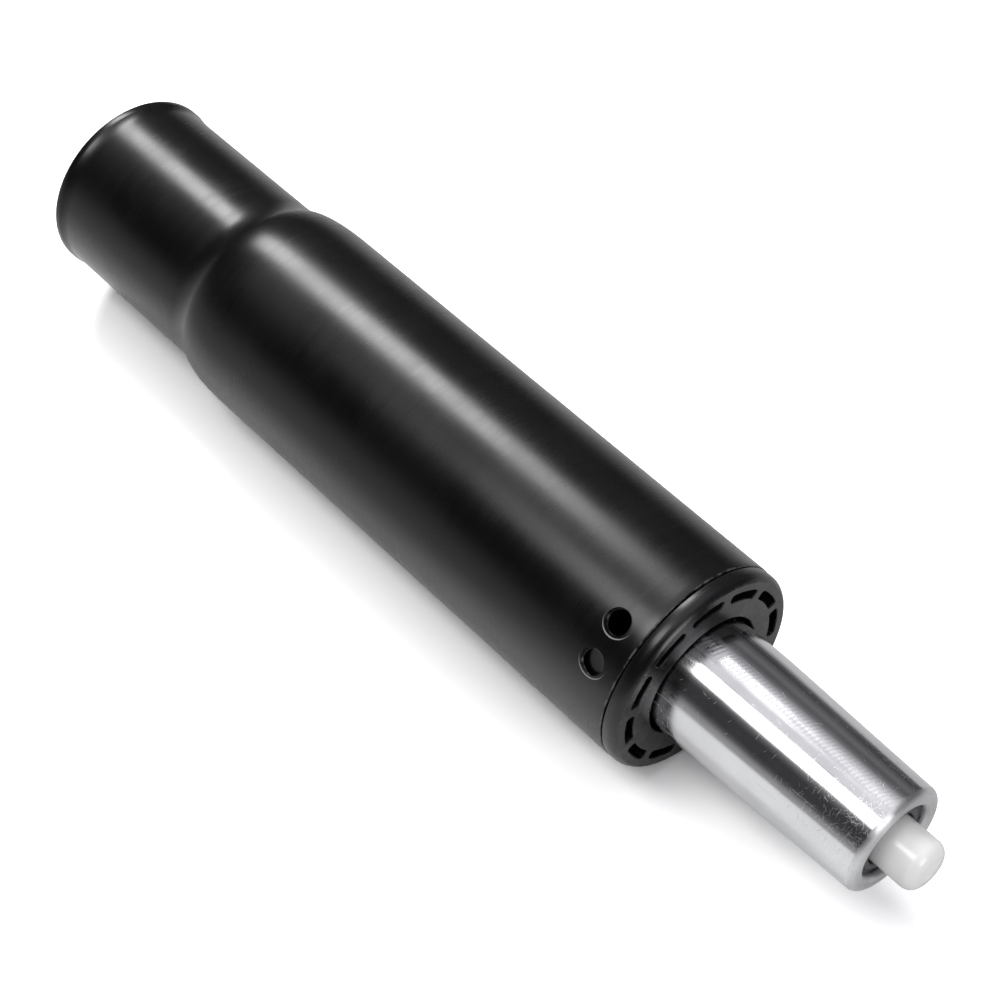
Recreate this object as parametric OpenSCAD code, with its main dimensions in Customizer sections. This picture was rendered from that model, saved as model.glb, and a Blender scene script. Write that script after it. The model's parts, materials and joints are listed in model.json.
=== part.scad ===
// Chair gas lift cylinder, standing on its lower end.
// The axis of the column is Z, and the origin is the centre of the lower end face.
// It is drawn fully lowered: the pressure tube is down against the bump stop. From there it
// rises until the carrier's spigot meets the piston, which is a stroke of 100.
// Lengths are in millimetres.

/* [Column] */
// Length of the steel standing tube, without the bush flange
column_len = 194; // [150:1:260]
// Outer diameter of the standing tube
column_od = 50; // [48:0.5:56]
// Wall thickness of the standing tube
column_wall = 1.5; // [1.3:0.1:1.8]
// Outer diameter of the neck that goes into the chair base
neck_od = 44.8; // [43:0.1:46]
// Height at which the neck ends and the shoulder starts
neck_len = 46; // [42:0.5:60]
// Length of the S-shaped shoulder
shoulder_len = 19; // [12:0.5:30]
// Length of the hollow curve at the foot of the shoulder
shoulder_root = 6; // [4:0.5:8]
// Radial rise of that hollow curve
shoulder_rise = 1.2; // [0.6:0.1:1.5]
// Outer diameter of the flare round the lower end
lip_od = 45.8; // [45.2:0.1:47]
// Height up to which the flare is straight
lip_flat = 1.7; // [1.2:0.1:2.4]
// Length of the hollow curve from there to the neck
lip_curve = 2.9; // [1:0.1:4]
// Width of the inward ledge under the bottom plate
ledge_w = 2.4; // [1.6:0.1:3.2]
// Thickness of that ledge
ledge_t = 2.4; // [1.6:0.1:3.2]
// Small rounding on the ends of the tube
column_edge = 0.5; // [0.2:0.1:0.8]

/* [Stake marks] */
// Diameter of one round stake mark
stake_d = 6.6; // [4:0.2:8]
// Depth of a mark at its deep side
stake_depth = 0.9; // [0.5:0.1:1.1]
// Distance of the marks from the upper end of the tube
stake_drop = 6.7; // [5:0.1:12]
// Turn between the two marks of a pair
stake_pair_deg = 23; // [18:1:40]
// Turn of the first pair from the X axis
stake_at_deg = -43; // [-90:1:90]
// How far the metal stands in inside the tube behind a mark
stake_bump = 0.7; // [0.4:0.1:0.8]
// Clearance round the inside bump in the bush
stake_gap = 0.2; // [0.1:0.05:0.4]

/* [Guide bush] */
// Thickness of the flange on the end of the tube
flange_t = 4.1; // [3:0.1:7]
// Outer diameter of that flange
flange_od = 49.8; // [48:0.1:50]
// Length of the bush inside the tube
bush_len = 66; // [50:1:80]
// Rounding of the flange's front edge, along the axis
flange_round = 2.2; // [1.2:0.1:2.6]
// Rounding of the flange's front edge, across the axis
flange_round_in = 1.1; // [0.6:0.1:1.6]
// Radial gap between the sliding tube and the bush lands
slide_fit = 0.05; // [0.02:0.01:0.1]
// Length of each of the two lands that guide the sliding tube
land_len = 20; // [12:1:28]
// Depth of the relief between the two lands
land_relief = 0.45; // [0.2:0.05:0.8]
// Diameter of the bush mouth in the flange
mouth_d = 29.8; // [28.8:0.1:31]
// Depth of the mouth
mouth_depth = 8; // [5:0.5:12]
// Chamfer round the mouth
mouth_chamfer = 0.4; // [0.2:0.1:0.6]
// Inner diameter of the ring of slots in the flange
slot_in_d = 39.4; // [38:0.1:40.4]
// Outer diameter of the ring of slots
slot_out_d = 43.6; // [42:0.1:44]
// Number of slots, and of ribs between the two sleeves
slot_count = 12; // [8:1:16]
// Thickness of a rib, which is the bar between two slots
rib_w = 2.5; // [1.2:0.1:3]
// Wall of the inner sleeve below the flange
sleeve_wall = 2.6; // [2:0.1:3.5]
// Depth of the hub behind the slots
hub_depth = 6; // [5:0.5:9]

/* [Bottom plate] */
// Thickness of the plate that carries the bearing
plate_t = 3.5; // [2.5:0.1:5]
// Height of the plate's upper face above the lower end
plate_top = 12.5; // [11:0.5:16]
// Wall of the plate's skirt
plate_skirt = 2; // [1.5:0.1:3]
// Radial gap of a part that is pressed or seated and doesn't move
seat_fit = 0.05; // [0.02:0.01:0.08]

/* [Swivel bearing] */
// Outer diameter of the thrust bearing
bearing_od = 24; // [22:0.5:28]
// Thickness of one bearing washer
race_t = 3; // [2.4:0.1:4]
// Diameter of a bearing ball
ball_d = 4; // [3.5:0.1:4.8]
// Number of balls
ball_count = 9; // [6:1:10]
// Diameter of the circle through the ball centres
ball_circle = 17; // [16:0.1:19]
// Depth of the raceway in each washer
race_depth = 0.5; // [0.3:0.05:0.8]
// Running gap round a ball
ball_gap = 0.04; // [0.02:0.01:0.08]
// Gap round a ball in its cage pocket
pocket_gap = 0.15; // [0.1:0.05:0.3]
// Thickness of the cage
cage_t = 1.6; // [1:0.1:2]
// Inner diameter of the cage
cage_id = 11.6; // [11:0.1:12.4]
// Outer diameter of the cage
cage_od = 22.6; // [22:0.1:23.4]
// Bore of the lower washer, which stands clear of the rod
lower_race_id = 10; // [9:0.1:10.6]

/* [Piston rod] */
// Diameter of the piston rod
rod_d = 10; // [9:0.5:11]
// Diameter of the rod's end that passes through the bearing and the plate
rod_end_d = 8; // [7:0.1:8.6]
// Radial gap between the rod's end and the plate
rod_end_fit = 0.06; // [0.02:0.01:0.1]
// Height of the rod's lower end face above the lower end of the column
rod_end_z = 3; // [2.6:0.1:4]
// Chamfer on the ends of the rod
rod_chamfer = 0.6; // [0.3:0.1:1]
// Diameter at the bottom of the clip groove
clip_groove_d = 6; // [5.4:0.1:6.6]
// Thickness of the rod clip
clip_t = 1.2; // [1:0.1:1.4]
// Outer diameter of the rod clip
clip_od = 15; // [13:0.5:17]
// Width of the clip's opening
clip_mouth = 5.4; // [4.6:0.1:5.8]
// Clearance of the clip in its groove, above and below it
clip_play = 0.05; // [0.02:0.01:0.1]
// Thickness of the washer above the clip
clip_washer_t = 1.5; // [1.2:0.1:2]
// Outer diameter of that washer
clip_washer_od = 20; // [18:0.5:24]
// Axial gap between that washer and the plate
end_play = 0.3; // [0.2:0.05:0.4]
// Thickness of the washer between the bearing and the rod's shoulder
load_washer_t = 2; // [1.5:0.1:3]
// Outer diameter of that washer
load_washer_od = 23; // [21:0.5:26]

/* [Bump stop] */
// Height of the rubber bump stop
bump_len = 12.2; // [8:0.2:16]
// Outer diameter of the bump stop
bump_od = 22; // [18:0.5:25]
// Depth of the waist round the bump stop
bump_waist = 1.4; // [0.6:0.1:2]
// Gap between the bump stop and the lowered pressure tube
bump_gap = 0.3; // [0.2:0.05:0.5]

/* [Pressure tube] */
// Length of the pressure tube
tube_len = 215.9; // [200:0.1:240]
// Outer diameter of the pressure tube
tube_od = 28; // [27.8:0.1:28.2]
// Wall thickness of the pressure tube
tube_wall = 1.5; // [1.2:0.1:1.7]
// Length of the taper that goes into the seat mechanism
taper_len = 40.5; // [34:0.5:44]
// Fall of the taper's radius for each millimetre of its length
taper_rate = 0.0251; // [0.02:0.0001:0.03]
// Outer rounding of the rim
rim_round = 1.8; // [1:0.1:2.4]
// Diameter of the opening inside the rim
rim_hole_d = 18.1; // [17:0.1:19]
// Thickness of the rolled rim along the axis
rim_t = 2; // [1.6:0.1:2.6]
// Bevel between the rim's flat top and its opening
rim_bevel = 0.7; // [0.3:0.1:0.9]
// Outer rounding of the rolled lower edge
foot_round = 1.5; // [0.8:0.1:1.8]
// Diameter of the opening inside the rolled lower edge
foot_hole_d = 19; // [17:0.5:21]
// Thickness of the rolled lower edge along the axis
foot_t = 1.5; // [1.2:0.1:2]

/* [Inner tube and lower guide] */
// Outer diameter of the inner tube
inner_od = 22; // [21.6:0.1:22.6]
// Wall thickness of the inner tube
inner_wall = 1; // [0.8:0.1:1.2]
// Diameter of the gas ports near the ends of the inner tube
port_d = 1.6; // [1:0.1:2]
// Number of gas ports at each end
port_count = 4; // [2:1:6]
// Radial gap of the moving seals and guides on the rod and in the inner tube
run_fit = 0.05; // [0.02:0.01:0.1]
// Thickness of the steel washer inside the lower edge
end_washer_t = 2; // [1.5:0.1:3]
// Length of the rod guide
rod_guide_len = 8; // [6:0.5:12]
// Length of the rod seal
rod_seal_len = 6; // [4:0.5:8]
// Depth of the pressure recess round the rod in the seal
rod_seal_recess = 2.4; // [1.5:0.1:3]
// Thickness of the disc that carries the inner tube
carrier_t = 3.5; // [2.5:0.5:5]
// Height of the carrier's spigot inside the inner tube
spigot_len = 4; // [3:0.5:6]
// Gap between the spigot and the piston at the upper end of the stroke
top_out_gap = 1; // [0.5:0.5:3]

/* [Piston] */
// Gap between the top of the rod and the open valve pin at the lower end of the stroke
pin_gap = 2.37; // [0.5:0.01:5]
// Height of the piston
piston_len = 9; // [8:0.5:12]
// Diameter of the rod's tenon inside the piston
tenon_d = 6; // [5:0.1:7]
// Thickness of the support washer under the piston
piston_washer_t = 2; // [1:0.1:3]
// Outer diameter of that washer
piston_washer_od = 17; // [14:0.5:18.5]
// Thickness of the lock nut on the piston
nut_t = 4; // [3:0.5:5]
// Width across flats of the lock nut
nut_af = 10; // [9:0.5:12]
// Section diameter of the piston seal
piston_seal_d = 2.4; // [1.8:0.1:2.8]
// Clearance between a sealing ring and the floor of its groove
ring_gap = 0.05; // [0.04:0.01:0.1]
// Height of the guide ring round the piston
guide_ring_len = 2.6; // [2:0.1:3]
// Radial thickness of the guide ring
guide_ring_t = 1; // [0.8:0.1:1.4]

/* [Valve] */
// Height of the valve body's head in the pressure tube
valve_head_len = 10; // [8:0.5:12]
// Length of the valve body's plug in the inner tube
valve_plug_len = 13; // [11:0.5:16]
// Gap between the top of the valve body and the start of the taper
valve_below_taper = 1.9; // [1:0.1:4]
// Section diameter of the two rings round the valve body
ring_d = 2; // [1.6:0.1:2.4]
// Height of the gas groove round the plug
gas_groove_h = 2.4; // [2:0.1:3]
// Depth of the gas groove
gas_groove_depth = 1.4; // [0.8:0.1:2]
// Diameter of the valve pin
pin_d = 5; // [4:0.1:6]
// Radial gap between the valve pin and the valve body
pin_fit = 0.03; // [0.02:0.01:0.05]
// Diameter of the thinner stretch of the pin in the gas passage
pin_neck_d = 3; // [2.4:0.1:3.4]
// Diameter of the sealing head under the valve body
pin_head_d = 8; // [7:0.1:9]
// Height of that head
pin_head_t = 2.5; // [2:0.1:3.5]
// Gap between the closed sealing head and its seat
pin_seat_gap = 0.03; // [0.02:0.01:0.05]
// Diameter of the pocket for the pin's seal
pin_pocket_d = 9; // [8:0.1:10]
// Depth of that pocket
pin_pocket_depth = 4; // [3.5:0.1:5]
// Thickness of the washer that closes the pocket
pin_washer_t = 1.4; // [1:0.1:1.8]

/* [Release button] */
// Diameter of the release button
button_d = 11.7; // [10:0.1:12.4]
// How far the button stands out of the rim
button_out = 9.4; // [7:0.1:12]
// Travel of the button
button_travel = 4; // [2:0.5:4.5]
// Rounding of the button's end
button_round = 2.8; // [1:0.1:3.4]
// Rise of the button's domed end
button_dome = 0.5; // [0.1:0.1:0.8]
// Length of the button's stem inside the sleeve
button_stem = 31; // [26:1:33]
// Diameter of the collar that keeps the button in
collar_d = 15.2; // [14.2:0.1:16]
// Thickness of that collar
collar_t = 2; // [1.5:0.1:2.5]
// Gap between the collar and what stops it
collar_gap = 0.2; // [0.1:0.05:0.4]
// Radial gap between the button and the spacer sleeve
button_fit = 0.05; // [0.02:0.01:0.05]
// Depth of the pin's seat in the button
pin_seat_depth = 3; // [2:0.5:5]
// Outer diameter of the spacer sleeve
spacer_od = 22.4; // [21:0.1:22.6]
// Diameter of the insert's bore round the button
insert_bore = 12.7; // [12.5:0.1:13.4]
// Diameter of the insert's neck inside the rim
insert_neck_d = 16.4; // [15.6:0.1:17.4]
// Height of the insert's neck above its flange
insert_neck_h = 0.7; // [0.4:0.1:1.2]
// Thickness of the insert's flange
insert_t = 2.5; // [2:0.1:3.5]
// Chamfer on the insert's neck
insert_chamfer = 0.3; // [0.1:0.1:0.5]

/* [Hidden] */

$fn = 96;

// Column
column_r = column_od / 2;
column_bore_r = column_r - column_wall;
neck_r = neck_od / 2;
neck_bore_r = neck_r - column_wall;
lip_r = lip_od / 2;
ledge_r = neck_bore_r - ledge_w;
shoulder_top = neck_len + shoulder_len;
foot_rise = min(shoulder_rise, 0.6 * (column_r - neck_r));
shoulder_slope = 2 * foot_rise / shoulder_root;

// Guide bush
bush_top = column_len + flange_t;
bush_bottom = column_len - bush_len;
bush_r = column_bore_r - seat_fit;
flange_r = flange_od / 2;
flange_turn = 2 * atan(flange_round_in / flange_round);
flange_arc_r = flange_round / sin(flange_turn);
tube_r = tube_od / 2;
land_r = tube_r + slide_fit;
mouth_z = bush_top - mouth_depth;
hub_z = bush_top - hub_depth;

// Stake marks
stake_z = column_len - stake_drop;
stake_angles = [for (side = [0, 180], one = [-0.5, 0.5]) stake_at_deg + side + one * stake_pair_deg];
stake_tilt = atan(stake_depth / stake_d);

// Bottom plate and swivel bearing, from the plate upwards
plate_z = plate_top - plate_t;
rod_end_r = rod_end_d / 2;
lower_race_z = plate_top;
ball_r = ball_d / 2;
race_gap = ball_d + 2 * ball_gap - 2 * race_depth;
upper_race_z = lower_race_z + race_t + race_gap;
ball_z = lower_race_z + race_t + race_gap / 2;
groove_r = ball_r + ball_gap;
load_washer_z = upper_race_z + race_t;
rod_shoulder_z = load_washer_z + load_washer_t;

// Clip under the plate, from the plate downwards
clip_washer_z = plate_z - end_play - clip_washer_t;
clip_z = clip_washer_z - clip_play - clip_t;

// Pressure tube, from the bump stop upwards
bump_top = rod_shoulder_z + bump_len;
tube_z = bump_top + bump_gap;
rim_z = tube_z + tube_len;
tube_bore_r = tube_r - tube_wall;
taper_z = rim_z - taper_len;
rim_r = tube_r - taper_rate * taper_len;
rim_hole_r = rim_hole_d / 2;
rim_under_z = rim_z - rim_t;

// Lower guide, from the rolled edge upwards
rod_r = rod_d / 2;
end_washer_z = tube_z + foot_t;
rod_guide_z = end_washer_z + end_washer_t;
rod_seal_z = rod_guide_z + rod_guide_len;
carrier_z = rod_seal_z + rod_seal_len;
inner_z = carrier_z + carrier_t;
spigot_top = inner_z + spigot_len;
guide_r = tube_bore_r - seat_fit;
inner_r = inner_od / 2;
inner_bore_r = inner_r - inner_wall;

// Valve, from the start of the taper downwards
valve_top = taper_z - valve_below_taper;
valve_head_z = valve_top - valve_head_len;
valve_plug_z = valve_head_z - valve_plug_len;
plug_r = inner_bore_r - seat_fit;
pin_r = pin_d / 2;
gas_z = valve_head_z - 4.2;
plug_ring_z = gas_z - gas_groove_h / 2 - ring_d;
head_ring_z = valve_head_z + valve_head_len / 2;
head_ring_r = guide_r + seat_fit / 2 - ring_d / 2;
plug_ring_r = plug_r + seat_fit / 2 - ring_d / 2;
passage_top = gas_z + gas_groove_h;
pin_pocket_z = valve_top - pin_pocket_depth;
pin_washer_z = valve_top - pin_washer_t;

// Piston, from the open valve pin downwards
pin_head_z = valve_plug_z - pin_seat_gap - pin_head_t;
rod_top = pin_head_z - button_travel - pin_gap;
nut_z = rod_top - rod_chamfer - nut_t;
piston_z = nut_z - piston_len;
tenon_z = piston_z - piston_washer_t;
piston_r = inner_bore_r - run_fit;
tenon_r = tenon_d / 2;
piston_seal_r = piston_r + run_fit / 2 - piston_seal_d / 2;
piston_seal_z = piston_z + piston_len - 3;
guide_ring_z = piston_z + 1.2;

// Insert, spacer and release button, from the rim downwards
insert_z = rim_under_z - insert_t;
insert_r = tube_r - taper_rate * (rim_under_z - taper_z) - tube_wall - seat_fit;
button_r = button_d / 2;
button_top = rim_z + button_out;
button_bottom = button_top - button_out - button_stem + insert_t + rim_t;
collar_top = insert_z - collar_gap;
collar_z = collar_top - collar_t;
collar_bore_z = collar_z - button_travel - collar_gap - 0.4;
spacer_z = valve_top;

// Points of a round corner about [cx, cz], from angle a to angle b
function arc(cx, cz, r, a, b, steps = 6) =
    [for (i = [0:steps]) let (t = a + (b - a) * i / steps) [cx + r * cos(t), cz + r * sin(t)]];

// Points of a curve that leaves a towards b and reaches c from b
function curve(a, b, c, steps) =
    [for (i = [0:steps]) let (t = i / steps) (1 - t) * (1 - t) * a + 2 * t * (1 - t) * b + t * t * c];

// Points of the shoulder, this far inside its outer face: the hollow foot, then the crown
function shoulder(inside) =
    let (low = neck_r - inside, mid = low + foot_rise, high = column_r - inside,
        mid_z = neck_len + shoulder_root, bend_z = min(mid_z + (high - mid) / shoulder_slope, shoulder_top))
    concat(
        curve([low, neck_len], [low, neck_len + shoulder_root / 2], [mid, mid_z], 6),
        curve([mid, mid_z], [high, bend_z], [high, shoulder_top], 8)
    );

function reversed(list) = [for (i = [len(list) - 1:-1:0]) list[i]];

// A plain ring or a solid disc standing on the plane z
module ring(r_out, r_in, z, h) {
    translate([0, 0, z])
        difference() {
            cylinder(r = r_out, h = h);
            if (r_in > 0)
                translate([0, 0, -1]) cylinder(r = r_in, h = h + 2);
        }
}

// A ring of round section about the axis
module o_ring(centre_r, section_d, z) {
    translate([0, 0, z])
        rotate_extrude()
            translate([centre_r, 0]) circle(d = section_d, $fn = 32);
}

// A short round bar that lies along the radius at one angle
module radial_bar(angle, z, d, from, to) {
    rotate([0, 0, angle])
        translate([from, 0, z])
            rotate([0, 90, 0]) cylinder(d = d, h = to - from, $fn = 48);
}

// The hollows between the ribs of the bush, as one flat pattern
module cell_pattern(r_in, r_out) {
    difference() {
        circle(r = r_out);
        circle(r = r_in);
        for (i = [0:slot_count - 1])
            rotate((i + 0.5) * 360 / slot_count)
                translate([0, -rib_w / 2]) square([r_out + 1, rib_w]);
    }
}

// Standing tube: neck, shoulder, upper tube and the stake marks
module standing_tube() {
    outside = concat(
        [[lip_r - column_edge, 0]],
        arc(lip_r - column_edge, column_edge, column_edge, -60, 0, 2),
        curve([lip_r, lip_flat], [neck_r, lip_flat + lip_curve / 2], [neck_r, lip_flat + lip_curve], 6),
        shoulder(0),
        arc(column_r - column_edge, column_len - column_edge, column_edge, 0, 90, 3)
    );
    inside = concat(
        [[column_bore_r, column_len]],
        reversed(shoulder(column_wall)),
        [[neck_bore_r, ledge_t], [ledge_r, ledge_t], [ledge_r, column_edge], [ledge_r + column_edge, 0]]
    );
    color("#1b1c1f")
        difference() {
            union() {
                rotate_extrude() polygon(concat(outside, inside));
                for (a = stake_angles)
                    radial_bar(a, stake_z, stake_d - 1.4, column_bore_r - stake_bump, column_bore_r + 0.6);
            }
            for (a = stake_angles)
                rotate([0, 0, a])
                    translate([column_r - stake_depth / 2, 0, stake_z])
                        rotate([0, 90 + stake_tilt, 0]) cylinder(d = stake_d, h = 4, $fn = 48);
        }
}

// Plate in the lower end: a cup that stands on the ledge and carries the bearing
module bottom_plate() {
    r = neck_bore_r - seat_fit;
    color("#8b8f94")
        difference() {
            ring(r, rod_end_r + rod_end_fit, ledge_t, plate_top - ledge_t);
            ring(r - plate_skirt, 0, ledge_t - 1, plate_z - ledge_t + 1);
        }
}

// Guide bush: slotted flange, two sleeves and the ribs between them
module guide_bush() {
    profile = concat(
        [[land_r, bush_bottom], [bush_r - mouth_chamfer, bush_bottom], [bush_r, bush_bottom + mouth_chamfer],
         [bush_r, column_len], [flange_r, column_len]],
        arc(flange_r - flange_arc_r, bush_top - flange_round, flange_arc_r, 0, flange_turn),
        [[mouth_d / 2 + mouth_chamfer, bush_top], [mouth_d / 2, bush_top - mouth_chamfer],
         [mouth_d / 2, mouth_z], [land_r, mouth_z - (mouth_d / 2 - land_r)],
         [land_r, mouth_z - land_len], [land_r + land_relief, mouth_z - land_len - land_relief],
         [land_r + land_relief, bush_bottom + land_len + land_relief], [land_r, bush_bottom + land_len]]
    );
    color("#232427")
        difference() {
            rotate_extrude() polygon(profile);
            translate([0, 0, hub_z - 1])
                linear_extrude(hub_depth + 2) cell_pattern(slot_in_d / 2, slot_out_d / 2);
            translate([0, 0, bush_bottom - 1])
                linear_extrude(hub_z - bush_bottom + 1)
                    cell_pattern(land_r + sleeve_wall, slot_out_d / 2);
            for (a = stake_angles)
                radial_bar(a, stake_z, stake_d - 1.4 + 2 * stake_gap,
                    column_bore_r - stake_bump - stake_gap, column_bore_r + 1);
        }
}

// One washer of the thrust bearing, with its raceway on the side given
module race(r_in, z, groove_z) {
    color("#b9bcc0")
        difference() {
            ring(bearing_od / 2, r_in, z, race_t);
            o_ring(ball_circle / 2, 2 * groove_r, groove_z);
        }
}

module bearing_lower_washer() {
    race(lower_race_id / 2, lower_race_z, ball_z);
}

module bearing_upper_washer() {
    race(rod_end_r + seat_fit, upper_race_z, ball_z);
}

module ball_cage() {
    color("#c9a24a")
        difference() {
            ring(cage_od / 2, cage_id / 2, ball_z - cage_t / 2, cage_t);
            for (i = [0:ball_count - 1])
                rotate([0, 0, i * 360 / ball_count])
                    translate([ball_circle / 2, 0, ball_z - cage_t])
                        cylinder(r = ball_r + pocket_gap, h = 2 * cage_t, $fn = 32);
        }
}

module bearing_balls() {
    color("#d5d8dc")
        for (i = [0:ball_count - 1])
            rotate([0, 0, i * 360 / ball_count])
                translate([ball_circle / 2, 0, ball_z]) sphere(r = ball_r, $fn = 32);
}

module load_washer() {
    color("#a5a8ac")
        ring(load_washer_od / 2, rod_end_r + seat_fit, load_washer_z, load_washer_t);
}

// Rubber bump stop round the rod, with a waist
module bump_stop() {
    r = bump_od / 2;
    r_in = rod_r + seat_fit;
    z = rod_shoulder_z;
    color("#2b2b2b")
        rotate_extrude()
            polygon([
                [r_in, z], [r - 0.8, z], [r, z + 0.8], [r, z + bump_len * 0.3],
                [r - bump_waist, z + bump_len * 0.42], [r - bump_waist, z + bump_len * 0.58],
                [r, z + bump_len * 0.7], [r, z + bump_len - 0.8], [r - 0.8, z + bump_len],
                [r_in, z + bump_len]
            ]);
}

// Piston rod: stepped end with the clip groove, and the tenon of the piston
module piston_rod() {
    groove_z = clip_z - clip_play;
    color("#c4c8cc")
        rotate_extrude()
            polygon([
                [0, rod_end_z], [rod_end_r - rod_chamfer, rod_end_z], [rod_end_r, rod_end_z + rod_chamfer],
                [rod_end_r, groove_z], [clip_groove_d / 2, groove_z],
                [clip_groove_d / 2, clip_washer_z], [rod_end_r, clip_washer_z],
                [rod_end_r, rod_shoulder_z], [rod_r, rod_shoulder_z],
                [rod_r, tenon_z], [tenon_r, tenon_z],
                [tenon_r, rod_top - rod_chamfer], [tenon_r - rod_chamfer, rod_top], [0, rod_top]
            ]);
}

module clip_washer() {
    color("#9da0a5")
        ring(clip_washer_od / 2, rod_end_r + seat_fit, clip_washer_z, clip_washer_t);
}

// Horseshoe clip in the rod's groove
module rod_clip() {
    color("#6f7378")
        difference() {
            ring(clip_od / 2, clip_groove_d / 2 + seat_fit, clip_z, clip_t);
            translate([0, -clip_mouth / 2, clip_z - 1]) cube([clip_od, clip_mouth, clip_t + 2]);
        }
}

module piston_washer() {
    color("#a5a8ac")
        ring(piston_washer_od / 2, tenon_r + seat_fit, tenon_z, piston_washer_t);
}

// Piston with a groove for its seal and a seat for its guide ring
module piston() {
    color("#d8d2c0")
        difference() {
            ring(piston_r, tenon_r + seat_fit, piston_z, piston_len);
            ring(piston_r + 1, piston_seal_r - piston_seal_d / 2 - ring_gap,
                piston_seal_z - piston_seal_d / 2 - 0.1, piston_seal_d + 0.2);
            ring(piston_r + 1, piston_r - guide_ring_t, guide_ring_z, guide_ring_len + 0.2);
        }
}

module piston_seal() {
    color("#222222")
        o_ring(piston_seal_r, piston_seal_d, piston_seal_z);
}

module piston_guide_ring() {
    color("#5b4a36")
        ring(piston_r + run_fit / 2, piston_r - guide_ring_t + 0.05, guide_ring_z + 0.1, guide_ring_len);
}

module piston_nut() {
    color("#b0b3b8")
        translate([0, 0, nut_z])
            difference() {
                cylinder(d = nut_af / cos(30), h = nut_t, $fn = 6);
                translate([0, 0, -1]) cylinder(r = tenon_r + seat_fit, h = nut_t + 2);
            }
}

// Pressure tube: rolled lower edge, straight wall, taper and rolled rim
module pressure_tube() {
    outside = concat(
        [[foot_hole_d / 2, tube_z]],
        arc(tube_r - foot_round, tube_z + foot_round, foot_round, -90, 0),
        [[tube_r, taper_z]],
        arc(rim_r - rim_round, rim_z - rim_round, rim_round, 0, 90, 8),
        [[rim_hole_r + rim_bevel, rim_z], [rim_hole_r, rim_z - rim_bevel], [rim_hole_r, rim_under_z]]
    );
    inside = [
        [insert_r + seat_fit, rim_under_z], [tube_bore_r, taper_z],
        [tube_bore_r, end_washer_z], [foot_hole_d / 2, end_washer_z]
    ];
    color("#d9dce0")
        rotate_extrude() polygon(concat(outside, inside));
}

// Inner tube between the carrier and the valve, with gas ports at both ends
module inner_tube() {
    color("#b6babf")
        difference() {
            ring(inner_r, inner_bore_r, inner_z, valve_head_z - inner_z);
            for (i = [0:port_count - 1], z = [spigot_top + port_d / 2, gas_z])
                radial_bar(i * 360 / port_count, z, port_d, inner_bore_r - 1, inner_r + 1);
        }
}

module end_washer() {
    color("#9da0a5")
        ring(guide_r, rod_r + 0.5, end_washer_z, end_washer_t);
}

module rod_guide() {
    color("#e6e2d6")
        ring(guide_r, rod_r + run_fit, rod_guide_z, rod_guide_len);
}

// Rod seal with a recess that the gas pressure opens
module rod_seal() {
    color("#1f1f1f")
        difference() {
            ring(guide_r, rod_r + run_fit, rod_seal_z, rod_seal_len);
            ring(rod_r + 1.6 + rod_seal_recess, rod_r + 1.6,
                carrier_z - rod_seal_recess, rod_seal_recess + 1);
        }
}

// Disc under the inner tube, with a spigot that centres it
module tube_carrier() {
    color("#cfc9b8")
        difference() {
            union() {
                ring(guide_r, 0, carrier_z, carrier_t);
                ring(plug_r, 0, carrier_z, carrier_t + spigot_len);
            }
            ring(rod_r + 0.6, 0, carrier_z - 1, carrier_t + spigot_len + 2);
        }
}

// Valve body: head in the pressure tube, plug in the inner tube, gas groove and pin bore
module valve_body() {
    color("#c2a35a")
        difference() {
            union() {
                ring(guide_r, 0, valve_head_z, valve_head_len);
                ring(plug_r, 0, valve_plug_z, valve_plug_len + 1);
            }
            for (at = [[head_ring_r, head_ring_z], [plug_ring_r, plug_ring_z]])
                ring(at[0] + ring_d, at[0] - ring_d / 2 - ring_gap, at[1] - ring_d / 2 - 0.1, ring_d + 0.2);
            difference() {
                ring(inner_bore_r + 0.5, plug_r - gas_groove_depth, gas_z - gas_groove_h / 2, gas_groove_h);
                ring(guide_r + 1, 0, valve_head_z, valve_head_len);
            }
            for (i = [0:port_count - 1])
                radial_bar(i * 360 / port_count, gas_z, port_d, 0, plug_r);
            ring(pin_r + pin_fit, 0, valve_plug_z - 1, valve_top - valve_plug_z + 2);
            ring(pin_pocket_d / 2, 0, pin_pocket_z, pin_pocket_depth + 1);
        }
}

// The two sealing rings round the valve body
module valve_rings() {
    color("#1f1f1f") {
        o_ring(head_ring_r, ring_d, head_ring_z);
        o_ring(plug_ring_r, ring_d, plug_ring_z);
    }
}

// Sealing ring round the valve pin
module pin_seal() {
    section = pin_pocket_d / 2 - pin_r - 0.08;
    color("#1f1f1f")
        o_ring((pin_pocket_d / 2 + pin_r) / 2, section, pin_pocket_z + section / 2 + 0.05);
}

module pin_washer() {
    color("#9da0a5")
        ring(pin_pocket_d / 2 - seat_fit, pin_r + pin_fit, pin_washer_z, pin_washer_t);
}

// Sleeve between the valve and the insert, which guides the button's stem
module spacer_sleeve() {
    color("#cfd2d6")
        difference() {
            ring(spacer_od / 2, button_r + button_fit, spacer_z, insert_z - spacer_z);
            ring(collar_d / 2 + 0.3, 0, collar_bore_z, insert_z - collar_bore_z + 1);
        }
}

// Insert under the rolled rim, with its neck in the opening
module top_insert() {
    hub_r = insert_neck_d / 2;
    hub_top = rim_under_z + insert_neck_h;
    color("#3a3c40")
        rotate_extrude()
            polygon([
                [insert_bore / 2, insert_z], [insert_r - insert_chamfer, insert_z],
                [insert_r - insert_chamfer, rim_under_z], [hub_r, rim_under_z],
                [hub_r, hub_top - insert_chamfer], [hub_r - insert_chamfer, hub_top],
                [insert_bore / 2, hub_top]
            ]);
}

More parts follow.
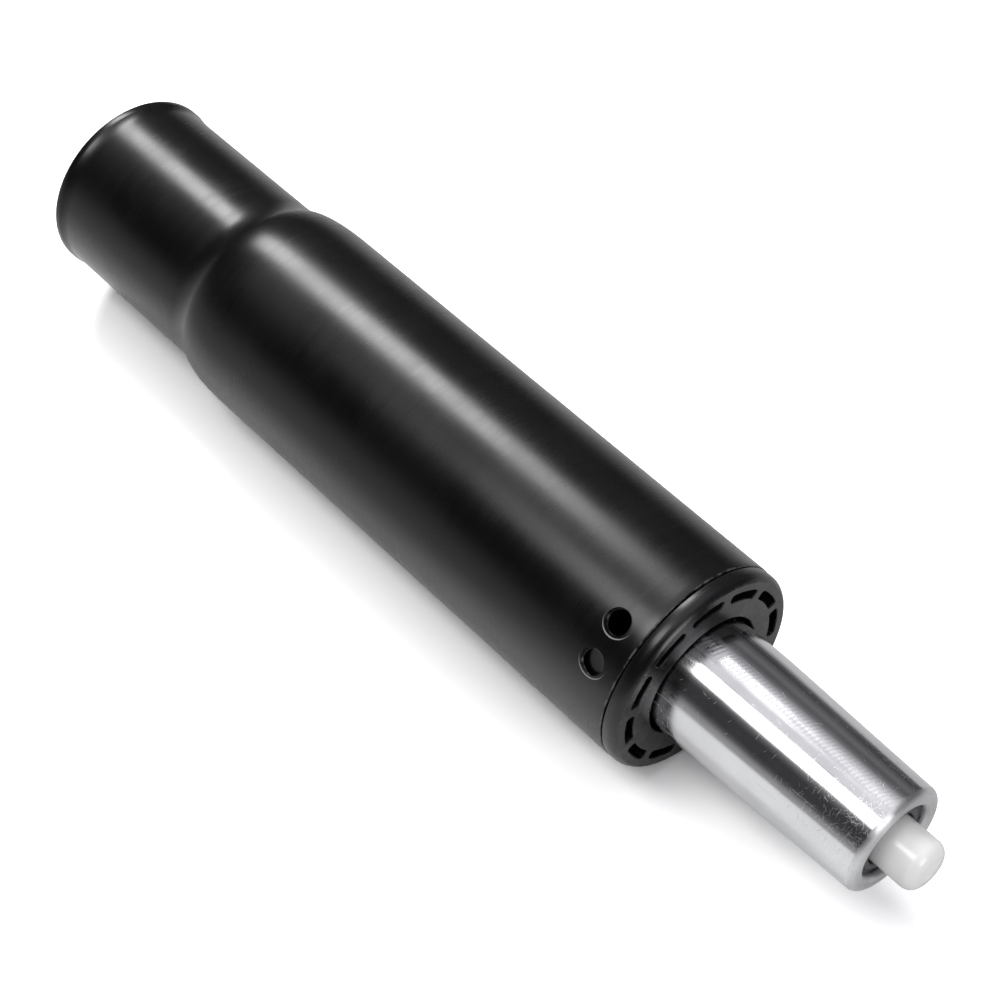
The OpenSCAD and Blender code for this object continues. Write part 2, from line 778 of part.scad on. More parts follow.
// Valve pin: stem, thin neck in the gas passage and the sealing head
module valve_pin() {
    seat_z = pin_head_z + pin_head_t;
    color("#c4c8cc")
        rotate_extrude()
            polygon([
                [0, pin_head_z], [pin_head_d / 2, pin_head_z], [pin_head_d / 2, seat_z],
                [pin_neck_d / 2, seat_z], [pin_neck_d / 2, passage_top], [pin_r, passage_top + 0.6],
                [pin_r, button_bottom + pin_seat_depth], [0, button_bottom + pin_seat_depth]
            ]);
}

// Release button: domed end, stem in the sleeve and the collar that keeps it in
module release_button() {
    corner_z = button_top - button_dome;
    dome = [for (i = [0:4]) let (f = i / 4, r = (button_r - button_round) * f)
        [r, corner_z + button_dome * (1 - f * f)]];
    corner = arc(button_r - button_round, corner_z - button_round, button_round, 78, 0, 7);
    color("#f2f2f0")
        difference() {
            rotate_extrude()
                polygon(concat(dome, corner, [
                    [button_r, collar_top], [collar_d / 2, collar_top], [collar_d / 2, collar_z],
                    [button_r, collar_z], [button_r, button_bottom], [0, button_bottom]
                ]));
            ring(pin_r, 0, button_bottom - 1, pin_seat_depth + 1);
        }
}

standing_tube();
bottom_plate();
guide_bush();
bearing_lower_washer();
ball_cage();
bearing_balls();
bearing_upper_washer();
load_washer();
bump_stop();
piston_rod();
clip_washer();
rod_clip();
piston_washer();
piston();
piston_seal();
piston_guide_ring();
piston_nut();
pressure_tube();
inner_tube();
end_washer();
rod_guide();
rod_seal();
tube_carrier();
valve_body();
valve_rings();
pin_seal();
pin_washer();
spacer_sleeve();
top_insert();
valve_pin();
release_button();
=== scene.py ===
"""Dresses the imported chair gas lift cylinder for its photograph.

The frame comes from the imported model: Z runs along the cylinder, the origin is the centre of the
lower end face, and the photograph's floor is the plane on the cylinder's +Y side.
Sizes in this file are in millimetres until they reach Blender, which works in metres.
"""

import json
import logging
import math
from dataclasses import dataclass, field
from enum import Enum

import bpy
from mathutils import Matrix, Vector


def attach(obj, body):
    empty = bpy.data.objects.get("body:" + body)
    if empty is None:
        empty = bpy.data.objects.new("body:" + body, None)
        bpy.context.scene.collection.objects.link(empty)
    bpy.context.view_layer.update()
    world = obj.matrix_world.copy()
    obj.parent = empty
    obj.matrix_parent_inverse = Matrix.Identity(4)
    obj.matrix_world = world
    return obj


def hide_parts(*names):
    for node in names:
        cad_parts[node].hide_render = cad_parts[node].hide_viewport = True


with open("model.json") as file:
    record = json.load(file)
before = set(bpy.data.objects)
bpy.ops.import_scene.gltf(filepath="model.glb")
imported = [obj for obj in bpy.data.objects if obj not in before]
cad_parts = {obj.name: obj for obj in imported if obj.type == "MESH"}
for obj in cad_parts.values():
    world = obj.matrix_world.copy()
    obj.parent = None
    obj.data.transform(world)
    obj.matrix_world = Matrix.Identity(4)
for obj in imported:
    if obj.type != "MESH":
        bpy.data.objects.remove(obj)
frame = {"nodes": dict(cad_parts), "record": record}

LOG = logging.getLogger("gas_lift")
MM = 0.001
MICRON = 0.000001
AXIS = (0.0, 0.0, 0.0)
MERGE_DISTANCE = 0.002
SHARP_ANGLE = 30.0
SLOT_STEPS = 5
SLOT_SIDE_STEPS = 10
BOSS_STEPS = 48
PUNCH_STEPS = 64
WASHER_STEPS = 128
RING_STEPS = 192
OVERCUT = 1.0
Point = tuple[float, float]
Place = tuple[float, float, float]
Colour = tuple[float, float, float]
Fade = tuple[float, float, float, float]
Shape = bpy.types.Object
Socket = bpy.types.NodeSocket
Materials = dict[str, bpy.types.Material]


# Profiles

def arc(cx: float, cz: float, r: float, a: float, b: float, steps: int = 8) -> list[Point]:
    """Points (radius, height) of an arc about (cx, cz), from angle a to angle b in degrees."""
    turns = [math.radians(a + (b - a) * i / steps) for i in range(steps + 1)]
    return [(cx + r * math.cos(t), cz + r * math.sin(t)) for t in turns]


def quarter(r: float, z: float, edge: float, start: int, steps: int = 4) -> list[Point]:
    """Points of the quarter circle that rounds the corner (r, z), from the angle start in degrees."""
    aside, up = (math.copysign(edge, way(math.radians(start + 45))) for way in (math.cos, math.sin))
    return arc(r - aside, z - up, edge, start, start + 90, steps)


def curve(a: Point, b: Point, c: Point, steps: int) -> list[Point]:
    """Points of a quadratic curve that leaves a towards b and reaches c from b."""
    shares = [i / steps for i in range(steps + 1)]
    return [tuple((1 - t) ** 2 * p + 2 * t * (1 - t) * q + t * t * r for p, q, r in zip(a, b, c))
            for t in shares]


def rings(r: float, z0: float, z1: float, gap: float) -> list[Point]:
    """Points at even heights on a straight wall, without its two ends."""
    count = max(1, round(abs(z1 - z0) / gap))
    return [(r, z0 + (z1 - z0) * i / count) for i in range(1, count)]


def rounded_box(r0: float, r1: float, z0: float, z1: float, edge: float) -> list[Point]:
    """Closed section of a ring with four rounded edges, from the lower inner corner."""
    return (quarter(r0, z0, edge, 180) + quarter(r1, z0, edge, 270)
            + quarter(r1, z1, edge, 0) + quarter(r0, z1, edge, 90))


def slot_outline(r_in: float, r_out: float, half_deg: float, bar: float, bend: float,
                 grow: float) -> list[Point]:
    """Outline of a curved slot between two radial bars, centred on the X axis.

    Args:
        r_in: Inner radius of the slot.
        r_out: Outer radius of the slot.
        half_deg: Half of the turn from one bar's middle to the next.
        bar: Half of a bar's width.
        bend: Radius of the slot's corners.
        grow: How far the outline is moved outwards.

    Returns:
        Points as (x, y), counter-clockwise.
    """
    inner, outer = r_in - grow, r_out + grow
    side, soft = bar - grow, bend + grow
    edge = math.radians(half_deg)
    square = math.degrees(edge) + 90
    out_turn = edge - math.asin((side + soft) / (outer - soft))
    in_turn = edge - math.asin((side + soft) / (inner + soft))

    def bend_points(r: float, turn: float, a: float, b: float) -> list[Point]:
        """Points of one corner on the +Y side, whose centre is at radius r."""
        return arc(r * math.cos(turn), r * math.sin(turn), soft, a, b, SLOT_STEPS)

    def long_side(r: float, turn: float) -> list[Point]:
        """Points of a long side from an angle to its mirror image, without its ends."""
        turns = [turn - 2 * turn * i / SLOT_SIDE_STEPS for i in range(1, SLOT_SIDE_STEPS)]
        return [(r * math.cos(t), r * math.sin(t)) for t in turns]

    def mirrored(points: list[Point]) -> list[Point]:
        """The same points on the -Y side, in the other order."""
        return [(x, -y) for x, y in points[::-1]]

    out_bend = bend_points(outer - soft, out_turn, math.degrees(out_turn), square)
    in_bend = bend_points(inner + soft, in_turn, square, 180 + math.degrees(in_turn))
    return (mirrored(out_bend) + long_side(outer, -out_turn) + out_bend
            + in_bend + long_side(inner, in_turn) + mirrored(in_bend))


# Modelling bench

class Bench:
    """Modelling steps that every piece shares, done with Blender's own operators."""

    @staticmethod
    def clear() -> None:
        """Leaves edit mode and deselects everything."""
        if bpy.context.object and bpy.context.object.mode != "OBJECT":
            bpy.ops.object.mode_set(mode="OBJECT")
        bpy.ops.object.select_all(action="DESELECT")

    @staticmethod
    def activate(piece: Shape) -> None:
        """Makes a piece the only selected one and the active one.

        Args:
            piece: The piece.
        """
        Bench.clear()
        piece.select_set(True)
        bpy.context.view_layer.objects.active = piece

    @staticmethod
    def new_mesh(name: str) -> Shape:
        """Starts an empty piece at the origin.

        Args:
            name: Name of the piece.

        Returns:
            The piece, in edit mode.
        """
        Bench.clear()
        bpy.ops.mesh.primitive_plane_add(size=MM, location=AXIS)
        piece = bpy.context.object
        piece.name = piece.data.name = name
        bpy.ops.object.mode_set(mode="EDIT")
        bpy.ops.mesh.select_all(action="SELECT")
        bpy.ops.mesh.delete(type="VERT")
        return piece

    @staticmethod
    def draw(points: list[Place], closed: bool) -> None:
        """Draws a line of vertices in edit mode by extruding one vertex from point to point.

        Args:
            points: Points in millimetres.
            closed: True to join the last point to the first.
        """
        bpy.ops.mesh.select_all(action="DESELECT")
        bpy.ops.mesh.primitive_plane_add(size=MM, location=AXIS)
        bpy.ops.mesh.merge(type="CENTER")
        bpy.ops.transform.translate(value=Vector(points[0]) * MM)
        for a, b in zip(points, points[1:]):
            step = (Vector(b) - Vector(a)) * MM
            bpy.ops.mesh.extrude_vertices_move(TRANSFORM_OT_translate={"value": step})
        if closed:
            mesh = bpy.context.object.data
            bpy.ops.object.mode_set(mode="OBJECT")
            first = len(mesh.vertices) - len(points)
            mesh.vertices[first].select = True
            bpy.ops.object.mode_set(mode="EDIT")
            bpy.ops.mesh.edge_face_add()

    @staticmethod
    def face_outwards() -> None:
        """Turns every face of the edited mesh outwards and leaves edit mode."""
        bpy.ops.mesh.select_all(action="SELECT")
        bpy.ops.mesh.normals_make_consistent(inside=False)
        bpy.ops.object.mode_set(mode="OBJECT")

    @staticmethod
    def turned(name: str, profile: list[Point], steps: int, closed: bool = True) -> Shape:
        """Turns a profile round the Z axis, as on a lathe.

        Args:
            name: Name of the piece.
            profile: Points as (radius, height), in millimetres.
            steps: Segments round the axis.
            closed: True where the profile is a ring's whole section, False where it ends on the axis.

        Returns:
            The piece, in object mode.
        """
        piece = Bench.new_mesh(name)
        Bench.draw([(r, 0.0, z) for r, z in profile], closed)
        bpy.ops.mesh.select_all(action="SELECT")
        bpy.ops.mesh.spin(steps=steps, angle=math.tau, center=AXIS, axis=(0, 0, 1))
        bpy.ops.mesh.select_all(action="SELECT")
        bpy.ops.mesh.remove_doubles(threshold=MM * MERGE_DISTANCE)
        Bench.face_outwards()
        return piece

    @staticmethod
    def column_of(name: str, levels: list[tuple[float, list[Point]]]) -> Shape:
        """Joins flat outlines at several heights into one closed shape.

        Args:
            name: Name of the piece.
            levels: Height and outline of each level, with the same number of points in each.

        Returns:
            The piece, in object mode.
        """
        piece = Bench.new_mesh(name)
        for z, outline in levels:
            Bench.draw([(x, y, z) for x, y in outline], True)
        bpy.ops.mesh.select_all(action="SELECT")
        bpy.ops.mesh.bridge_edge_loops()
        bpy.ops.mesh.select_all(action="DESELECT")
        bpy.ops.mesh.select_non_manifold(extend=False, use_boundary=True)
        bpy.ops.mesh.edge_face_add()
        Bench.face_outwards()
        return piece

    @staticmethod
    def place(piece: Shape, matrix: Matrix) -> Shape:
        """Moves a piece and writes its place into its mesh.

        Args:
            piece: The piece.
            matrix: Where it goes.

        Returns:
            The same piece.
        """
        Bench.activate(piece)
        piece.matrix_world = matrix
        bpy.ops.object.transform_apply(location=True, rotation=True, scale=True)
        return piece

    @staticmethod
    def copies(piece: Shape, turns: list[float]) -> Shape:
        """Copies a piece round the axis, each copy with its own mesh, and joins them all.

        Args:
            piece: The piece to copy.
            turns: Angles of all the copies, in degrees. The first one is the piece itself.

        Returns:
            One piece that holds all of them.
        """
        made = []
        for turn in turns[1:]:
            Bench.activate(piece)
            bpy.ops.object.duplicate(linked=False)
            made.append(Bench.place(bpy.context.object, Matrix.Rotation(math.radians(turn), 4, "Z")))
        Bench.place(piece, Matrix.Rotation(math.radians(turns[0]), 4, "Z"))
        Bench.activate(piece)
        for other in made:
            other.select_set(True)
        bpy.ops.object.join()
        return piece

    @staticmethod
    def combine(piece: Shape, tool: Shape, operation: str) -> None:
        """Cuts or adds a tool shape with a Boolean modifier, applies it and removes the tool.

        Args:
            piece: The piece that stays.
            tool: The shape that is cut out of it or added to it.
            operation: UNION or DIFFERENCE.
        """
        Bench.activate(piece)
        modifier = piece.modifiers.new(operation.lower(), "BOOLEAN")
        modifier.operation = operation
        modifier.solver = "EXACT"
        modifier.object = tool
        bpy.ops.object.modifier_apply(modifier=modifier.name)
        Bench.activate(tool)
        bpy.ops.object.delete()

    @staticmethod
    def smooth(piece: Shape) -> None:
        """Shades a piece smooth, with its sharp edges kept.

        Args:
            piece: The piece.
        """
        Bench.activate(piece)
        bpy.ops.object.shade_smooth_by_angle(angle=math.radians(SHARP_ANGLE))
        Bench.clear()


# Materials

class Graph:
    """A node tree with short ways to add nodes and links."""

    def __init__(self, tree: bpy.types.NodeTree) -> None:
        """Takes an existing tree."""
        self.tree = tree

    def add(self, kind: str, inputs: dict | None = None, **settings: object) -> bpy.types.Node:
        """Adds a node.

        Args:
            kind: Type name of the node, without its ShaderNode prefix.
            inputs: Input name or index to a value or to an output socket.
            settings: Properties of the node.

        Returns:
            The node.
        """
        node = self.tree.nodes.new("ShaderNode" + kind)
        for name, value in settings.items():
            setattr(node, name, value)
        for name, value in (inputs or {}).items():
            self.feed(node, name, value)
        return node

    def feed(self, node: bpy.types.Node, name: str | int, value: object) -> None:
        """Links an output socket to an input, or sets the input's value.

        Args:
            node: The node.
            name: Name or index of its input.
            value: A value or an output socket.
        """
        if isinstance(value, Socket):
            self.tree.links.new(value, node.inputs[name])
        else:
            node.inputs[name].default_value = value

    def place(self) -> Socket:
        """The shaded point in the piece's own coordinates."""
        return self.add("TexCoord").outputs["Object"]

    def axes(self) -> tuple[Socket, Socket, Socket]:
        """The X, Y and Z of the shaded point."""
        return tuple(self.add("SeparateXYZ", {0: self.place()}).outputs)

    def noise(self, place: Socket, scale: object, detail: float, roughness: float = 0.5) -> Socket:
        """Adds a noise texture and returns its value."""
        return self.add("TexNoise", {"Vector": place, "Scale": scale, "Detail": detail,
                                     "Roughness": roughness}).outputs[0]

    def math(self, operation: str, a: object, b: object = 0.0, clamp: bool = False) -> Socket:
        """Adds a Math node and returns its output."""
        return self.add("Math", {0: a, 1: b}, operation=operation, use_clamp=clamp).outputs[0]

    def more(self, value: object, mask: Socket, amount: float) -> Socket:
        """Adds a mask times an amount to a value, kept between 0 and 1."""
        return self.math("ADD", value, self.math("MULTIPLY", mask, amount), clamp=True)

    def spread(self, value: object, low: float, high: float, to_low: float = 0.0,
               to_high: float = 1.0) -> Socket:
        """Maps the range from low to high smoothly to that from to_low to to_high."""
        return self.add("MapRange", {0: value, 1: low, 2: high, 3: to_low, 4: to_high},
                        interpolation_type="SMOOTHSTEP").outputs[0]

    def blend(self, mask: object, a: object, b: object) -> Socket:
        """Mixes two colours by a mask.

        Args:
            mask: Share of the second colour.
            a: First colour, plain or a socket.
            b: Second colour, plain or a socket.

        Returns:
            The mixed colour.
        """
        node = self.add("Mix", data_type="RGBA")
        self.feed(node, 0, mask)
        for index, value in ((6, a), (7, b)):
            self.feed(node, index, value if isinstance(value, Socket) else (*value, 1.0))
        return node.outputs[2]

    def bump(self, height: Socket, microns: float, normal: Socket | None) -> Socket:
        """Adds a bump of so many micrometres on top of another normal, if any, and returns the new one."""
        inputs = {"Height": height, "Distance": microns * MICRON, "Strength": 1.0}
        return self.add("Bump", inputs if normal is None else inputs | {"Normal": normal}).outputs[0]

    def effect(self, tree: bpy.types.NodeTree, *values: float) -> bpy.types.Node:
        """Adds a shared effect with the values of its inputs, in order."""
        return self.add("Group", dict(enumerate(values)), node_tree=tree)

    def one_sided(self, front: bpy.types.Node) -> None:
        """Ends a material with a shader that is seen on front faces only."""
        both = self.add("MixShader", {0: self.add("NewGeometry").outputs["Backfacing"],
                                      1: front.outputs[0],
                                      2: self.add("BsdfTransparent").outputs[0]})
        self.feed(self.add("OutputMaterial"), 0, both.outputs[0])

    @staticmethod
    def material(name: str) -> tuple["Graph", bpy.types.Material]:
        """Starts an empty material.

        Args:
            name: Name of the material.

        Returns:
            Its graph and the material.
        """
        material = bpy.data.materials.new(name)
        material.use_nodes = True
        material.node_tree.nodes.clear()
        return Graph(material.node_tree), material


@dataclass(frozen=True)
class Hair:
    """One kind of scratch on a round wall. Lengths are in millimetres, angles in radians.

    cell is the spacing; lean is the direction, 0 being round the axis; fan is how far it strays; sparse
    and crowded are the shares of cells that hold one, away from the scratched end and at it.
    """

    cell: float
    length: float
    width: float
    lean: float
    fan: float
    sparse: float
    crowded: float


HAIRS = (
    Hair(cell=1.7, length=2.2, width=0.10, lean=0.5, fan=0.8, sparse=0.02, crowded=0.95),
    Hair(cell=1.3, length=1.7, width=0.08, lean=-0.5, fan=0.9, sparse=0.015, crowded=0.95),
    Hair(cell=0.8, length=0.9, width=0.06, lean=0.0, fan=1.4, sparse=0.01, crowded=0.7),
    Hair(cell=4.5, length=1.3, width=0.13, lean=0.0, fan=1.5, sparse=0.10, crowded=0.3),
    Hair(cell=5.5, length=0.26, width=0.26, lean=0.0, fan=1.5, sparse=0.18, crowded=0.2),
    Hair(cell=8.0, length=8.0, width=0.07, lean=1.5708, fan=0.03, sparse=0.6, crowded=0.6),
)

# The wall the marks lie on: unrolled radius in millimetres, shift between kinds in cells, fades by angle
HAIR_FADE = (0.6, 0.5)
HAIR_WALL = 13.5
HAIR_SHIFT = 7.3
CROWDING = 1.6
WORN_FADE = (math.radians(-80), math.radians(-60), 0.3, 1.0)
RIPPLE_TURN = math.radians(-86)
RIPPLE_SLANT = 0.35
RIPPLE_FADE = (0.05, 0.16, 1.0, 0.0)


# Fine scratches: the turns of their four layers in radians, and how they stretch
SCRATCH_TURNS = ((0.3, 0.2), (1.25, 0.5), (2.1, -0.4), (2.8, 0.7))
SCRATCH_SPIN = 1.7
SCRATCH_STRETCH = (1.0, 1.0, 0.12)
SCRATCH_PATCHES = 2.3
HAZE_SCALE = 160.0
WEAR_AND_HIGHLIGHT_SCALE = 420.0
WEAR_AND_HIGHLIGHT_SHARE = 0.5


class Effects:
    """Node groups for effects that several finishes share, each built once."""

    def __init__(self) -> None:
        """Builds every group."""
        self.peel = self.build_peel()
        self.scratches = self.build_scratches()
        self.streaks = self.build_streaks()
        self.wear_and_highlight = self.build_wear_and_highlight()
        self.hairs = self.build_hairs()

    @staticmethod
    def group(name: str, inputs: dict[str, float],
              outputs: list[str]) -> tuple[Graph, bpy.types.Node, bpy.types.Node]:
        """Starts a group.

        Args:
            name: Name of the group.
            inputs: Input name to its plain value.
            outputs: Names of the outputs.

        Returns:
            The graph, its input node and its output node.
        """
        tree = bpy.data.node_groups.new(name, "ShaderNodeTree")
        for key, value in inputs.items():
            socket = tree.interface.new_socket(key, in_out="INPUT", socket_type="NodeSocketFloat")
            socket.default_value = value
        for key in outputs:
            tree.interface.new_socket(key, in_out="OUTPUT", socket_type="NodeSocketFloat")
        return Graph(tree), tree.nodes.new("NodeGroupInput"), tree.nodes.new("NodeGroupOutput")

    def build_peel(self) -> bpy.types.NodeTree:
        """Orange peel or moulding grain: a fine Height and a broad, cloudy Mottle."""
        g, start, end = self.group("peel", {"Scale": 1000.0, "Cloud": 60.0}, ["Height", "Mottle"])
        place = g.place()
        broad = g.noise(place, start.outputs["Cloud"], 3.0, 0.55)
        g.feed(end, "Height", g.noise(place, start.outputs["Scale"], 2.0))
        g.feed(end, "Mottle", g.spread(broad, 0.35, 0.65))
        return g.tree

    def build_scratches(self) -> bpy.types.NodeTree:
        """Short fine scratches in several directions: a Mask of the lines and a Haze round them."""
        inputs = {"Bare": 0.5, "Scale": 120.0, "Width": 0.02}
        g, start, end = self.group("scratches", inputs, ["Mask", "Haze"])
        bare, scale, width = (start.outputs[key] for key in inputs)
        place = g.place()
        total: object = 0.0
        for turn, tilt in SCRATCH_TURNS:
            turned = g.add("Mapping", {"Vector": place, "Rotation": (turn, tilt, turn * SCRATCH_SPIN),
                                       "Scale": SCRATCH_STRETCH}).outputs[0]
            cells = g.add("TexVoronoi", {"Vector": turned, "Scale": scale}, feature="DISTANCE_TO_EDGE")
            line = g.math("LESS_THAN", cells.outputs[0], width)
            where = g.noise(turned, g.math("MULTIPLY", scale, SCRATCH_PATCHES), 1.0)
            shown = g.math("GREATER_THAN", where, bare)
            total = g.math("MAXIMUM", g.math("MULTIPLY", line, shown), total)
        g.feed(end, "Mask", total)
        g.feed(end, "Haze", g.spread(g.noise(place, HAZE_SCALE, 4.0, 0.6), 0.4, 0.7))
        return g.tree

    def build_streaks(self) -> bpy.types.NodeTree:
        """Lines that run along the axis (Along) or round it (Round), as drawing and turning leave them."""
        g, start, end = self.group("streaks", {"Fineness": 1500.0}, ["Along", "Round"])
        place = g.place()
        for name, scale in (("Along", (1.0, 1.0, 0.02)), ("Round", (0.03, 0.03, 1.0))):
            drawn = g.add("Mapping", {"Vector": place, "Scale": scale}).outputs[0]
            g.feed(end, name, g.noise(drawn, start.outputs["Fineness"], 3.0, 0.6))
        return g.tree

    def build_wear_and_highlight(self) -> bpy.types.NodeTree:
        """Lighter places round an edge that lies at one height, partly edge wear and partly a painted
        highlight of the edge: a Mask broken up by noise.
        """
        g, start, end = self.group("edge_wear_and_highlight", {"Height": 0.0, "Width": 0.0005}, ["Mask"])
        z = g.axes()[2]
        off = g.math("ABSOLUTE", g.math("SUBTRACT", z, start.outputs["Height"]))
        near = g.math("SUBTRACT", 1.0, g.math("DIVIDE", off, start.outputs["Width"]), clamp=True)
        broken = g.spread(g.noise(g.place(), WEAR_AND_HIGHLIGHT_SCALE, 4.0, 0.65), 0.42, 0.62)
        lightened = g.math("MULTIPLY", near, broken)
        g.feed(end, "Mask", g.math("MULTIPLY", lightened, WEAR_AND_HIGHLIGHT_SHARE, clamp=True))
        return g.tree

    def build_hairs(self) -> bpy.types.NodeTree:
        """Marks on a round wall: a Mask of short scratches, crowded at one end, and a faint Ripple."""
        g, start, end = self.group("hairs", {"End": 0.25, "Reach": 0.02}, ["Mask", "Ripple"])
        x, y, z = g.axes()
        turn = g.math("ARCTAN2", y, x)
        way = g.math("MULTIPLY", turn, HAIR_WALL * MM)
        depth = g.math("DIVIDE", g.math("SUBTRACT", start.outputs["End"], z), start.outputs["Reach"])
        near = g.math("POWER", g.math("SUBTRACT", 1.0, depth, clamp=True), CROWDING)
        near = g.math("MULTIPLY", near, g.spread(turn, *WORN_FADE))
        total: object = 0.0
        for index, hair in enumerate(HAIRS):
            across = g.math("ADD", g.math("DIVIDE", way, hair.cell * MM), HAIR_SHIFT * index)
            grid = g.add("CombineXYZ", {0: across, 1: g.math("DIVIDE", z, hair.cell * MM)}).outputs[0]
            total = g.math("MAXIMUM", self.hair_marks(g, hair, grid, near), total)
        g.feed(end, "Mask", total)
        phase = g.math("MULTIPLY", g.math("ADD", z, g.math("MULTIPLY", way, RIPPLE_SLANT)), math.tau / MM)
        aside = g.math("ABSOLUTE", g.math("SUBTRACT", turn, RIPPLE_TURN))
        shown = g.spread(aside, *RIPPLE_FADE)
        g.feed(end, "Ripple", g.math("MULTIPLY", g.math("SINE", phase), shown))
        return g.tree

    @staticmethod
    def hair_marks(g: Graph, hair: Hair, grid: Socket, near: Socket) -> Socket:
        """One kind of scratch.

        Args:
            g: The group's graph.
            hair: The kind of scratch.
            grid: Place on the unrolled wall, in cells.
            near: How crowded the wall is there, from 0 to 1.

        Returns:
            A mask of its marks.
        """
        cells = g.add("TexVoronoi", {"Vector": grid, "Scale": 1.0}, voronoi_dimensions="2D")
        chance = g.add("SeparateColor", {0: cells.outputs["Color"]})
        offset = g.add("VectorMath", {0: grid, 1: cells.outputs["Position"]}, operation="SUBTRACT")
        lean = g.add("MapRange", {0: chance.outputs[0], 3: hair.lean - hair.fan, 4: hair.lean + hair.fan})
        line = g.add("VectorRotate", {"Vector": offset.outputs[0], "Angle": lean.outputs[0]},
                     rotation_type="Z_AXIS")
        parts = g.add("SeparateXYZ", {0: line.outputs[0]})
        share = g.math("ADD", g.math("MULTIPLY", near, hair.crowded - hair.sparse), hair.sparse)
        mark = g.math("LESS_THAN", chance.outputs[1], share)
        for size, way, fade in zip((hair.length, hair.width), parts.outputs, HAIR_FADE):
            end = size / hair.cell / 2
            inside = g.spread(g.math("ABSOLUTE", way), end * fade, end, 1.0, 0.0)
            mark = g.math("MULTIPLY", mark, inside)
        return mark


# Stake marks, with painted shade on their floors and a painted highlight crescent at their rims: heights,
# distances and their fades in millimetres, turns in degrees
STAKE_HEIGHT = 187.3
STAKE_TURNS = (-54.5, -31.5, 125.5, 148.5)
STAKE_REACH = 24.7
STAKE_FLOOR = (2.6, 3.1, 1.0, 0.0)
STAKE_SHADE = (2.1, 2.9)
SHADE_TURN = 3.0
SHADE_RISE = 0.9
STAKE_EDGE = (3.45, 3.7, 1.0, 0.0)
STAKE_HIGHLIGHT = (3.55, 3.85)
HIGHLIGHT_TURN = 0.8


